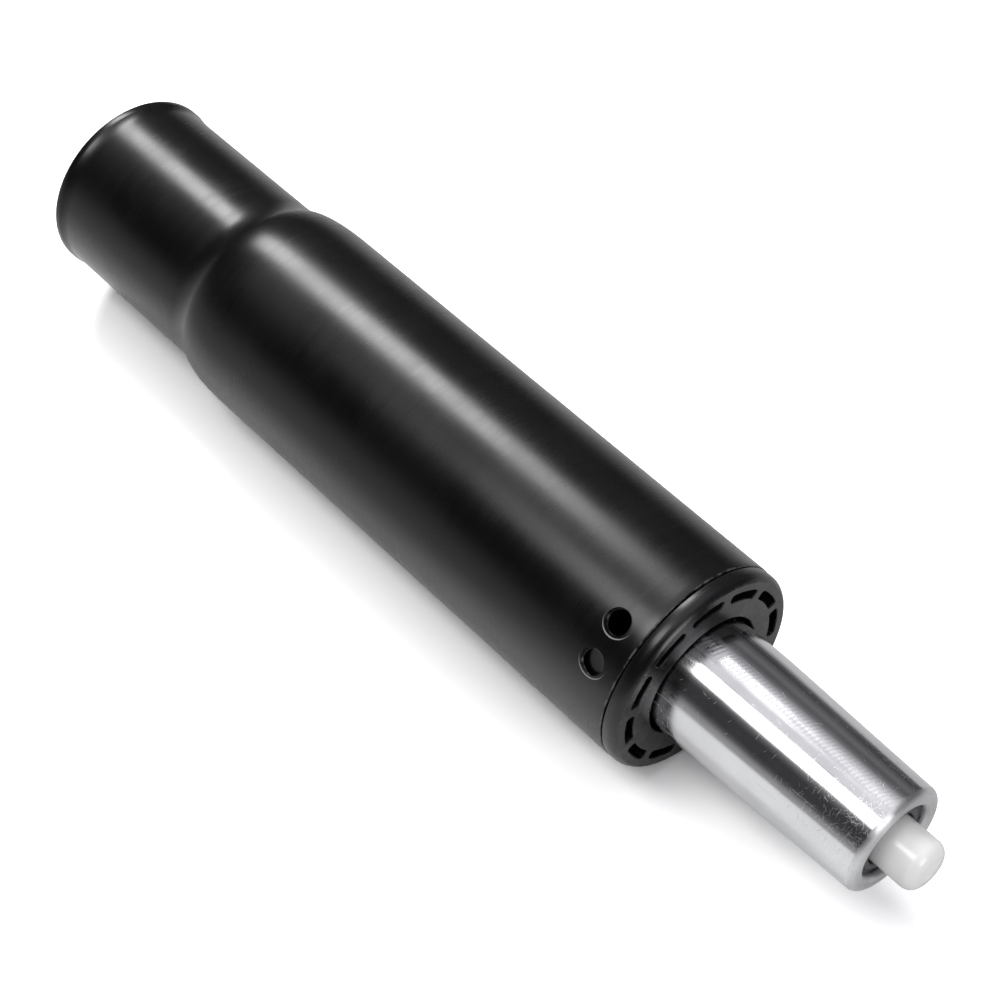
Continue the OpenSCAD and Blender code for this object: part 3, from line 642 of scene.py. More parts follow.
@dataclass(frozen=True)
class Finish:
    """A finish whose detail comes from the shared effects.

    Colours are linear. Depths are in micrometres, other lengths in millimetres and scales per metre.
    """

    slot: str
    colour: Colour
    second: Colour
    metallic: float = 0.0
    roughness: float = 0.4
    roughness_spread: float = 0.06
    ior: float = 1.5
    peel_scale: float = 1500.0
    peel_depth: float = 0.0
    cloud: float = 60.0
    streak: str = ""
    streak_depth: float = 0.0
    streak_gloss: float = 0.05
    streak_fineness: float = 1500.0
    scratch_cover: float = 0.0
    scratch_gloss: float = 0.25
    scratch_colour: Colour = (0.9, 0.9, 0.9)
    # Lighter edge lines: partly edge wear and partly a painted highlight of the edge.
    wear_and_highlight_heights: tuple[float, ...] = ()
    wear_and_highlight_width: float = 0.3
    wear_and_highlight_colour: Colour = (0.3, 0.3, 0.3)
    anisotropic: float = 0.0
    hair_end: float = 0.0
    hair_reach: float = 0.0
    hair_gloss: float = 0.34
    hair_depth: float = 4.0
    ripple_depth: float = 0.0
    ripple_gloss: float = 0.03
    # The stake marks in the first list get painted shade on their floors and a painted highlight crescent at
    # their rims; on the marks in the second list the whole floor is painted dark.
    hollows: tuple[float, ...] = ()
    fully_shaded: tuple[float, ...] = ()
    crescent_highlight_colour: Colour = (0.4, 0.4, 0.41)
    buffed_above: float = 0.0
    buffed_roughness: float = 0.0
    buffed_fade: float = 0.5
    subsurface: float = 0.0
    subsurface_depth: float = 4.0

    def material(self, effects: Effects) -> bpy.types.Material:
        """Builds the material.

        Args:
            effects: The shared node groups.

        Returns:
            The material, named for its slot.
        """
        g, material = Graph.material(self.slot)
        shader = g.add("BsdfPrincipled", {
            "Metallic": self.metallic, "IOR": self.ior, "Anisotropic": self.anisotropic,
            "Anisotropic Rotation": 0.25, "Subsurface Weight": self.subsurface,
            "Subsurface Scale": self.subsurface_depth * MM, "Subsurface Radius": (1.0, 0.95, 0.9)})
        g.feed(g.add("OutputMaterial"), 0, shader.outputs[0])
        peel = g.effect(effects.peel, self.peel_scale, self.cloud)
        mottle = peel.outputs["Mottle"]
        colour = g.blend(mottle, self.colour, self.second)
        rough = g.spread(mottle, 0.0, 1.0, self.roughness - self.roughness_spread,
                         self.roughness + self.roughness_spread)
        normal: Socket | None = None
        if self.peel_depth:
            normal = g.bump(peel.outputs["Height"], self.peel_depth, normal)
        if self.streak:
            lines = g.effect(effects.streaks, self.streak_fineness).outputs[self.streak]
            gloss = g.spread(lines, 0.3, 0.7, -self.streak_gloss, self.streak_gloss)
            rough = g.math("ADD", rough, gloss, clamp=True)
            normal = g.bump(lines, self.streak_depth, normal)
        if self.scratch_cover:
            scratches = g.effect(effects.scratches, 1.0 - self.scratch_cover)
            colour = g.blend(scratches.outputs["Mask"], colour, self.scratch_colour)
            rough = g.more(rough, scratches.outputs["Mask"], self.scratch_gloss)
            rough = g.more(rough, scratches.outputs["Haze"], self.roughness_spread)
        if self.hair_reach:
            hairs = g.effect(effects.hairs, self.hair_end * MM, self.hair_reach * MM)
            rough = g.more(rough, hairs.outputs["Ripple"], self.ripple_gloss)
            rough = g.more(rough, hairs.outputs["Mask"], self.hair_gloss)
            normal = g.bump(hairs.outputs["Ripple"], self.ripple_depth, normal)
            normal = g.bump(hairs.outputs["Mask"], -self.hair_depth, normal)
        if self.buffed_roughness:
            above = self.buffed_above
            buffed = g.spread(g.axes()[2], above * MM, (above + self.buffed_fade) * MM)
            rough = g.more(rough, buffed, self.buffed_roughness)
        # Lighter edge lines, partly edge wear and partly a painted highlight where light catches the edge.
        for height in self.wear_and_highlight_heights:
            wear_and_highlight = g.effect(effects.wear_and_highlight, height * MM, self.wear_and_highlight_width * MM)
            colour = g.blend(wear_and_highlight.outputs["Mask"], colour, self.wear_and_highlight_colour)
        if self.hollows:
            # Painted shade and highlight in the stake marks: the floors turn metallic, which on this
            # near-black colour paints them black, and a lighter colour paints highlight crescents at the
            # rims.
            shaded_floor_mask, lightened = self.pressed(g)
            colour = g.blend(lightened, colour, self.crescent_highlight_colour)
            g.feed(shader, "Metallic", shaded_floor_mask)
        g.feed(shader, "Base Color", colour)
        g.feed(shader, "Roughness", rough)
        if normal is not None:
            g.feed(shader, "Normal", normal)
        return material

    def pressed(self, g: Graph) -> tuple[Socket, Socket]:
        """Finds the pressed marks of a tube.

        Args:
            g: The material's graph.

        Returns:
            A mask of painted shade on their floors, over the whole floor or in a crescent, and a mask of
            painted highlight crescents at their rims.
        """
        place = g.place()
        shaded_floors: object = 0.0
        highlight_crescents: object = 0.0

        def away(turn: float, rise: float = 0.0) -> Socket:
            """Distance from a point near a mark.

            Args:
                turn: Angle of the point, in degrees.
                rise: Its height above the marks, in millimetres.

            Returns:
                Millimetres to the point.
            """
            angle = math.radians(turn)
            middle = (STAKE_REACH * math.cos(angle), STAKE_REACH * math.sin(angle), STAKE_HEIGHT + rise)
            off = g.add("VectorMath", {0: place, 1: [v * MM for v in middle]}, operation="DISTANCE")
            return g.math("DIVIDE", off.outputs["Value"], MM)

        for turn in self.hollows:
            near = away(turn)
            # Painted shade on the mark's floor; on some marks only a crescent of it, away from a shifted
            # middle.
            floor = g.spread(near, *STAKE_FLOOR)
            if turn not in self.fully_shaded:
                shade = g.spread(away(turn - SHADE_TURN, SHADE_RISE), *STAKE_SHADE)
                floor = g.math("MULTIPLY", floor, shade)
            shaded_floors = g.math("MAXIMUM", floor, shaded_floors)
            # Painted highlight: a lighter crescent at the rim, away from a slightly turned middle.
            outside = g.spread(away(turn - HIGHLIGHT_TURN), *STAKE_HIGHLIGHT)
            lightened = g.math("MULTIPLY", g.spread(near, *STAKE_EDGE), outside)
            highlight_crescents = g.math("MAXIMUM", lightened, highlight_crescents)
        return shaded_floors, highlight_crescents


FINISHES = (
    # black_paint paints shade and highlight into its stake marks, and lighter edge lines that are partly
    # edge wear and partly a painted highlight.
    Finish("black_paint", (0.0005, 0.0005, 0.0007), (0.001, 0.001, 0.0013), roughness=0.27,
           roughness_spread=0.02, peel_scale=900.0, peel_depth=4.0, cloud=45.0, streak="Round",
           streak_depth=0.6, streak_gloss=0.012, streak_fineness=800.0, wear_and_highlight_heights=(0.2, 193.85),
           wear_and_highlight_colour=(0.20, 0.20, 0.205), hollows=STAKE_TURNS, fully_shaded=STAKE_TURNS[::2]),
    Finish("bush_plastic", (0.002, 0.002, 0.0022), (0.004, 0.004, 0.0044), roughness=0.27,
           roughness_spread=0.03, ior=1.45, peel_scale=2200.0, peel_depth=3.0, cloud=90.0,
           streak="Round", streak_depth=2.0, wear_and_highlight_heights=(198.0,), wear_and_highlight_colour=(0.05, 0.05, 0.052)),
    Finish("chrome", (0.60, 0.605, 0.615), (0.65, 0.655, 0.662), metallic=1.0, roughness=0.16,
           roughness_spread=0.02, cloud=70.0, streak="Along", streak_depth=6.0, streak_fineness=700.0,
           hair_end=251.98, hair_reach=26.0, ripple_depth=4.0, buffed_above=250.3,
           buffed_roughness=0.26, anisotropic=0.8),
    Finish("white_plastic", (0.80, 0.80, 0.79), (0.84, 0.84, 0.83), roughness=0.16,
           roughness_spread=0.03, peel_scale=1600.0, peel_depth=2.0, subsurface=0.35),
    Finish("dark_steel", (0.055, 0.055, 0.058), (0.085, 0.085, 0.088), metallic=0.4, roughness=0.5,
           peel_scale=2600.0, peel_depth=10.0, cloud=260.0),
    Finish("zinc_steel", (0.46, 0.47, 0.49), (0.58, 0.585, 0.60), metallic=1.0, roughness=0.36,
           peel_scale=1900.0, peel_depth=5.0, cloud=220.0, streak="Round", streak_depth=2.0,
           scratch_cover=0.4, scratch_gloss=0.1, scratch_colour=(0.66, 0.66, 0.67)),
    Finish("bearing_steel", (0.56, 0.57, 0.59), (0.64, 0.645, 0.66), metallic=1.0, roughness=0.2,
           cloud=120.0, streak="Round", streak_depth=2.0),
    Finish("spring_steel", (0.12, 0.12, 0.125), (0.19, 0.19, 0.195), metallic=1.0, roughness=0.34,
           peel_scale=1800.0, peel_depth=4.0, cloud=300.0),
    Finish("cage_brass", (0.62, 0.45, 0.19), (0.72, 0.54, 0.26), metallic=1.0, roughness=0.3,
           peel_scale=1200.0, peel_depth=4.0, cloud=200.0),
    Finish("valve_brass", (0.60, 0.44, 0.20), (0.70, 0.53, 0.27), metallic=1.0, roughness=0.26,
           cloud=120.0, streak="Round", streak_depth=3.0),
    Finish("rubber", (0.012, 0.012, 0.012), (0.024, 0.024, 0.024), roughness=0.62,
           roughness_spread=0.1, peel_scale=2000.0, peel_depth=12.0, cloud=260.0),
    Finish("acetal", (0.70, 0.66, 0.56), (0.78, 0.74, 0.64), roughness=0.42, peel_depth=3.0,
           streak="Round", streak_depth=3.0, subsurface=0.15),
    Finish("guide_ptfe", (0.17, 0.11, 0.06), (0.26, 0.18, 0.10), roughness=0.55, peel_scale=3000.0,
           peel_depth=8.0, cloud=500.0),
    Finish("aluminium", (0.62, 0.63, 0.645), (0.70, 0.705, 0.715), metallic=1.0, roughness=0.3,
           cloud=140.0, streak="Round", streak_depth=4.0),
)


# Pieces

@dataclass
class Piece:
    """A visible piece that stands for one CAD node."""

    node: str
    body: str
    slot: str

    def shape(self) -> Shape:
        """Models the piece."""
        raise NotImplementedError

    def build(self, materials: Materials) -> Shape:
        """Models the piece, gives it its material, ties it to its body and hides the CAD node it stands for.

        Args:
            materials: Slot name to material.

        Returns:
            The finished piece.
        """
        mesh = self.shape()
        Bench.smooth(mesh)
        mesh.data.materials.clear()
        mesh.data.materials.append(materials[self.slot])
        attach(mesh, self.body)
        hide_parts(self.node)
        LOG.info("%s: %d faces, for node %s", mesh.name, len(mesh.data.polygons), self.node)
        return mesh


@dataclass
class StandingColumn(Piece):
    """The black standing tube with its necked end, shoulder and stake marks."""

    node: str = "standing_tube"
    body: str = "stand"
    slot: str = "black_paint"
    length: float = 194.0
    radius: float = 25.0
    wall: float = 1.5
    neck_radius: float = 22.4
    neck_length: float = 46.0
    shoulder_top: float = 65.0
    root_length: float = 6.0
    root_rise: float = 1.2
    flare_radius: float = 22.9
    flare_flat: float = 1.7
    flare_top: float = 4.6
    ledge_radius: float = 18.5
    ledge_height: float = 2.4
    edge: float = 0.5
    end_edge: float = 0.35
    ring_gap: float = 8.0
    stake_radius: float = 3.3
    stake_depth: float = 0.9
    stake_bump: float = 0.7
    stake_ring_gap: float = 0.55
    stake_band: float = 5.2
    plain_below: float = 5.0
    bore_band: float = 4.0
    punch_floor: float = 0.75
    punch_edge: float = 0.4
    punch_wall: Point = (0.3, 0.5)
    punch_lip: Point = (0.65, 0.9)
    punch_top: Point = (0.6, 4.0)
    boss_radius: float = 2.6
    boss_edge: float = 0.4
    boss_height: float = 1.3
    steps: int = 288

    def profile(self) -> list[Point]:
        """Closed section of the tube, from the lower outer edge round to the lower inner edge."""
        bore, neck_bore = self.radius - self.wall, self.neck_radius - self.wall
        marks = STAKE_HEIGHT
        flare_bend = (self.flare_flat + self.flare_top) / 2
        outside = (
            quarter(self.flare_radius, 0.0, self.edge, -90, 5)
            + curve((self.flare_radius, self.flare_flat), (self.neck_radius, flare_bend),
                    (self.neck_radius, self.flare_top), 10)
            + rings(self.neck_radius, self.flare_top, self.neck_length, self.ring_gap)
            + self.shoulder(0.0, 14)
            + rings(self.radius, self.shoulder_top, marks - self.plain_below, self.ring_gap)
            + rings(self.radius, marks - self.stake_band, marks + self.stake_band, self.stake_ring_gap)
            + quarter(self.radius, self.length, self.end_edge, 0, 5))
        inside = (
            [(bore, self.length), (bore, marks + self.bore_band), (bore, marks - self.bore_band)]
            + self.shoulder(self.wall, 8)[::-1]
            + [(neck_bore, self.ledge_height), (self.ledge_radius, self.ledge_height),
               (self.ledge_radius, self.edge), (self.ledge_radius + self.edge, 0.0)])
        return outside + inside

    def shoulder(self, inside: float, steps: int) -> list[Point]:
        """Points of the S-shaped shoulder, from the neck up.

        Args:
            inside: How far the points lie inside the outer face.
            steps: Steps in each of its two curves.

        Returns:
            Points as (radius, height).
        """
        low, high = self.neck_radius - inside, self.radius - inside
        middle, root = low + self.root_rise, self.neck_length + self.root_length
        bend = root + (high - middle) * self.root_length / (2 * self.root_rise)
        knee = (low, self.neck_length + self.root_length / 2)
        foot = curve((low, self.neck_length), knee, (middle, root), steps)
        crown = curve((middle, root), (high, bend), (high, self.shoulder_top), steps)
        return foot + crown[1:]

    def mark_matrix(self, turn: float, reach: float, tilt: float) -> Matrix:
        """Place of a stake mark, whose own Z axis points out of the tube, tilted away from the bush."""
        return (Matrix.Rotation(math.radians(turn), 4, "Z")
                @ Matrix.Translation(Vector((reach, 0, STAKE_HEIGHT)) * MM)
                @ Matrix.Rotation(math.radians(90 + tilt), 4, "Y"))

    def shape(self) -> Shape:
        """Turns the tube, raises a boss inside it behind each stake mark and presses the marks."""
        tube = Bench.turned("standing_tube_shell", self.profile(), self.steps)
        r, bend, rim, edge = self.stake_radius, self.punch_edge, self.boss_radius, self.boss_edge
        (wall, sill), (lip_out, lip), (out, top) = self.punch_wall, self.punch_lip, self.punch_top
        boss_section = [(0.0, 0.0), (rim - edge, 0.0), (rim, edge), (rim, self.boss_height),
                        (0.0, self.boss_height)]
        punch_section = (
            [(0.0, 0.0)] + arc(r - self.punch_floor, bend, bend, -90, 0, 5) + [(r - wall, sill)]
            + arc(r + lip_out, sill, lip, 180, 112, 9) + [(r + out, top), (0.0, top)])
        tilt = math.degrees(math.atan(self.stake_depth / (2 * r)))
        for turn in STAKE_TURNS:
            boss = Bench.turned("boss", boss_section, BOSS_STEPS, False)
            Bench.place(boss, self.mark_matrix(turn, self.radius - self.wall - self.stake_bump, 0))
            Bench.combine(tube, boss, "UNION")
        for turn in STAKE_TURNS:
            punch = Bench.turned("punch", punch_section, PUNCH_STEPS, False)
            Bench.place(punch, self.mark_matrix(turn, self.radius - self.stake_depth / 2, tilt))
            Bench.combine(tube, punch, "DIFFERENCE")
        return tube


@dataclass
class GuideBush(Piece):
    """The dark plastic bush: slotted flange, two sleeves and the ribs between them."""

    node: str = "guide_bush"
    body: str = "stand"
    slot: str = "bush_plastic"
    top: float = 198.1
    seat: float = 194.0
    bottom: float = 128.0
    radius: float = 23.45
    flange_radius: float = 24.9
    flange_edge: float = 0.12
    round_axial: float = 2.2
    round_radial: float = 1.1
    under_gap: float = 0.42
    under_steps: Point = (0.3, 0.35)
    face_margin: float = 0.06
    face_rings: Point = (22.6, 18.2)
    mouth_radius: float = 14.9
    mouth_depth: float = 8.0
    land_radius: float = 14.05
    land_length: float = 20.0
    relief: float = 0.45
    chamfer: float = 0.4
    slot_inner: float = 19.7
    slot_outer: float = 21.8
    slot_count: int = 12
    half_bar: float = 1.25
    slot_bend: float = 0.7
    slot_flares: tuple[Point, ...] = ((-0.35, 0.0), (-0.12, 0.07), (0.0, 0.24), (1.0, 0.24))
    cell_bend: float = 0.5
    hub_depth: float = 6.0
    sleeve_wall: float = 2.6
    steps: int = 288

    def profile(self) -> list[Point]:
        """Closed section of the bush without its slots."""
        land, deep = self.land_radius, self.land_radius + self.relief
        mouth_floor, under = self.top - self.mouth_depth, self.seat + self.under_gap
        turn = 2 * math.degrees(math.atan(self.round_radial / self.round_axial))
        bend = self.round_axial / math.sin(math.radians(turn))
        front = arc(self.flange_radius - bend, self.top - self.round_axial, bend, 0, turn, 12)
        return (
            [(land, self.bottom), (self.radius - self.chamfer, self.bottom),
             (self.radius, self.bottom + self.chamfer), (self.radius, self.seat),
             (self.radius + self.under_steps[0], self.seat), (self.radius + self.under_steps[1], under)]
            + quarter(self.flange_radius, under, self.flange_edge, -90, 3) + front
            + [(self.flange_radius - self.round_radial - self.face_margin, self.top)]
            + [(r, self.top) for r in self.face_rings]
            + quarter(self.mouth_radius, self.top, self.chamfer, 90, 5)
            + [(self.mouth_radius, mouth_floor), (land, mouth_floor - (self.mouth_radius - land)),
               (land, mouth_floor - self.land_length), (deep, mouth_floor - self.land_length - self.relief),
               (deep, self.bottom + self.land_length + self.relief), (land, self.bottom + self.land_length)])

    def shape(self) -> Shape:
        """Turns the bush and cuts the slots and the cells behind them."""
        bush = Bench.turned("guide_bush_moulding", self.profile(), self.steps)
        pitch = 360 / self.slot_count
        turns = [i * pitch for i in range(self.slot_count)]
        hub = self.top - self.hub_depth

        def outline(inner: float, bend: float, grow: float) -> list[Point]:
            """Outline of one slot or cell."""
            return slot_outline(inner, self.slot_outer, pitch / 2, self.half_bar, bend, grow)

        heights = [(hub - OVERCUT, 0.0)] + [(self.top + rise, grow) for rise, grow in self.slot_flares]
        slots = [(z, outline(self.slot_inner, self.slot_bend, grow)) for z, grow in heights]
        cell = outline(self.land_radius + self.sleeve_wall, self.cell_bend, 0.0)
        for name, levels in (("slots", slots), ("cells", [(self.bottom - OVERCUT, cell), (hub, cell)])):
            Bench.combine(bush, Bench.copies(Bench.column_of(name, levels), turns), "DIFFERENCE")
        return bush


@dataclass
class PressureTube(Piece):
    """The chromed tube with its taper and rolled ends."""

    node: str = "pressure_tube"
    body: str = "lift"
    slot: str = "chrome"
    foot: float = 36.08
    rim: float = 251.98
    radius: float = 14.0
    wall: float = 1.5
    taper_start: float = 211.48
    taper_rate: float = 0.0251
    rim_round: float = 1.8
    rim_hole: float = 9.05
    rim_bevel: float = 1.1
    rim_thickness: float = 2.0
    groove: float = 10.5
    groove_half: float = 0.1
    groove_depth: float = 0.04
    foot_round: float = 1.5
    foot_hole: float = 9.5
    foot_thickness: float = 1.5
    ring_gap: float = 12.0
    steps: int = 320

    def shape(self) -> Shape:
        """Turns the tube."""
        lip_under = self.rim - self.rim_thickness
        rim_radius = self.radius - self.taper_rate * (self.rim - self.taper_start)
        bore_top = self.radius - self.taper_rate * (lip_under - self.taper_start) - self.wall
        bore = self.radius - self.wall
        bevel = self.rim_bevel
        outside = (
            [(self.foot_hole, self.foot)]
            + quarter(self.radius, self.foot, self.foot_round, -90, 8)
            + rings(self.radius, self.foot + self.foot_round, self.taper_start, self.ring_gap)
            + [(self.radius, self.taper_start)]
            + quarter(rim_radius, self.rim, self.rim_round, 0, 14)
            + [(self.groove + self.groove_half, self.rim), (self.groove, self.rim - self.groove_half),
               (self.groove - self.groove_half, self.rim - self.groove_depth)]
            + arc(self.rim_hole + bevel, self.rim - bevel, bevel, 75, 180, 9)
            + [(self.rim_hole, lip_under)])
        inside = [(bore_top, lip_under), (bore, self.taper_start), (bore, self.foot + self.foot_thickness),
                  (self.foot_hole, self.foot + self.foot_thickness)]
        return Bench.turned("pressure_tube_shell", outside + inside, self.steps)


@dataclass
class TopInsert(Piece):
    """The dark ring inside the rim, round the button."""

    node: str = "top_insert"
    body: str = "lift"
    slot: str = "dark_steel"
    bottom: float = 247.48
    lip_under: float = 249.98
    flange_radius: float = 11.184
    neck_radius: float = 7.85
    neck_height: float = 0.7
    bore: float = 6.35
    edge: float = 0.3

    def shape(self) -> Shape:
        """Turns the insert."""
        top = self.lip_under + self.neck_height
        section = (
            [(self.bore, self.bottom), (self.flange_radius, self.bottom),
             (self.flange_radius, self.lip_under), (self.neck_radius, self.lip_under)]
            + quarter(self.neck_radius, top, self.edge, 0) + quarter(self.bore, top, self.edge, 90))
        return Bench.turned("top_insert_ring", section, RING_STEPS)


@dataclass
class ReleaseButton(Piece):
    """The white button with its domed end, stem and collar."""

    node: str = "release_button"
    body: str = "button"
    slot: str = "white_plastic"
    radius: float = 5.85
    top: float = 261.38
    bottom: float = 225.48
    dome: float = 0.5
    dome_steps: int = 8
    round_radius: float = 2.8
    collar_radius: float = 7.6
    collar_top: float = 247.28
    collar_thickness: float = 2.0
    seat_radius: float = 2.5
    seat_depth: float = 3.0
    ring_gap: float = 2.0

    def shape(self) -> Shape:
        """Turns the button."""
        corner_z = self.top - self.dome
        flat = self.radius - self.round_radius
        shares = [i / self.dome_steps for i in range(self.dome_steps + 1)]
        dome = [(flat * t, corner_z + self.dome * (1 - t ** 2)) for t in shares]
        bend = arc(flat, corner_z - self.round_radius, self.round_radius, 78, 0, 14)
        walls = rings(self.radius, corner_z - self.round_radius, self.collar_top, self.ring_gap)
        collar_z, seat = self.collar_top - self.collar_thickness, self.bottom + self.seat_depth
        stem = [(self.radius, self.collar_top), (self.collar_radius, self.collar_top),
                (self.collar_radius, collar_z), (self.radius, collar_z), (self.radius, self.bottom),
                (self.seat_radius, self.bottom), (self.seat_radius, seat), (0.0, seat)]
        return Bench.turned("release_button_moulding", dome + bend + walls + stem, RING_STEPS, False)


@dataclass
class BottomPlate(Piece):
    """The pressed plate in the lower end that carries the swivel bearing."""

    node: str = "bottom_plate"
    body: str = "stand"
    slot: str = "zinc_steel"
    radius: float = 20.85
    skirt: float = 2.0
    foot: float = 2.4
    under: float = 9.0
    top: float = 12.5
    bore: float = 4.06
    edge: float = 0.6
    bore_edge: float = 0.3
    foot_edge: float = 0.4
    inner_bend: float = 1.0

    def shape(self) -> Shape:
        """Turns the cup with its rounded edges."""
        inner, bend = self.radius - self.skirt, self.inner_bend
        section = (
            quarter(self.bore, self.under, self.bore_edge, 180)
            + arc(inner - bend, self.under - bend, bend, 90, 0, 6)
            + quarter(inner, self.foot, self.foot_edge, 180)
            + quarter(self.radius, self.foot, self.foot_edge, 270)
            + quarter(self.radius, self.top, self.edge, 0, 5)
            + quarter(self.bore, self.top, self.bore_edge, 90))
        return Bench.turned("bottom_plate_pressing", section, RING_STEPS)


@dataclass
class ClipWasher(Piece):
    """The washer between the rod clip and the bottom plate."""

    node: str = "clip_washer"
    body: str = "rod"
    slot: str = "zinc_steel"
    bore: float = 4.05
    radius: float = 10.0
    bottom: float = 7.2
    thickness: float = 1.5
    edge: float = 0.2

    def shape(self) -> Shape:
        """Turns the washer."""
        section = rounded_box(self.bore, self.radius, self.bottom, self.bottom + self.thickness, self.edge)
        return Bench.turned("clip_washer_ring", section, WASHER_STEPS)


@dataclass
class RodClip(Piece):
    """The horseshoe clip in the groove of the piston rod's end."""

    node: str = "rod_clip"
    body: str = "rod"
    slot: str = "spring_steel"
    inner: float = 3.05
    outer: float = 7.5
    mouth: float = 5.4
    mouth_flare: float = 1.6
    bottom: float = 5.95
    thickness: float = 1.2
    edge: float = 0.15

    def shape(self) -> Shape:
        """Turns a ring and cuts its mouth."""
        top = self.bottom + self.thickness
        section = rounded_box(self.inner, self.outer, self.bottom, top, self.edge)
        clip = Bench.turned("rod_clip_ring", section, WASHER_STEPS)
        half = self.mouth / 2
        near, far, wide = self.outer - OVERCUT, self.outer + OVERCUT, half + self.mouth_flare
        flare = [(0.0, -half), (near, -half), (far, -wide), (far, wide), (near, half), (0.0, half)]
        gap = Bench.column_of("mouth", [(self.bottom - OVERCUT, flare), (top + OVERCUT, flare)])
        Bench.combine(clip, gap, "DIFFERENCE")
        return clip


# Studio

class Side(Enum):
    """Where a lamp panel stands, as its angle about the cylinder's axis in degrees."""

    OVERHEAD = -108.0
    FRONT = -64.0
    BUTTON = -80.0


@dataclass(frozen=True)
class Panel:
    """A soft lamp panel that faces a point on the cylinder's axis. Lengths are in metres.

    tilt is how far the panel stands round towards the button's end, in degrees.
    """

    name: str
    side: Side
    height: float
    width: float
    length: float
    strength: float
    tilt: float = 0.0
    distance: float = 1.0

    def matrix(self) -> Matrix:
        """Place of the panel, whose own Z axis points at the cylinder."""
        face = Matrix(((0, 0, -1, 0), (1, 0, 0, 0), (0, -1, 0, 0), (0, 0, 0, 1)))
        return (Matrix.Translation((0, 0, self.height))
                @ Matrix.Rotation(math.radians(self.side.value), 4, "Z")
                @ Matrix.Rotation(math.radians(-self.tilt), 4, "Y")
                @ Matrix.Translation((self.distance, 0, 0))
                @ face @ Matrix.Diagonal((self.width / 2, self.length / 2, 1.0, 1.0)))


PANELS = (
    Panel("long_panel", Side.OVERHEAD, height=-0.675, width=0.45, length=0.75, strength=15.0),
    Panel("front_panel", Side.FRONT, height=-0.03, width=0.46, length=0.66, strength=6.5),
    Panel("button_panel", Side.BUTTON, height=0.25, width=0.60, length=0.60, strength=6.0, tilt=62.0),
)


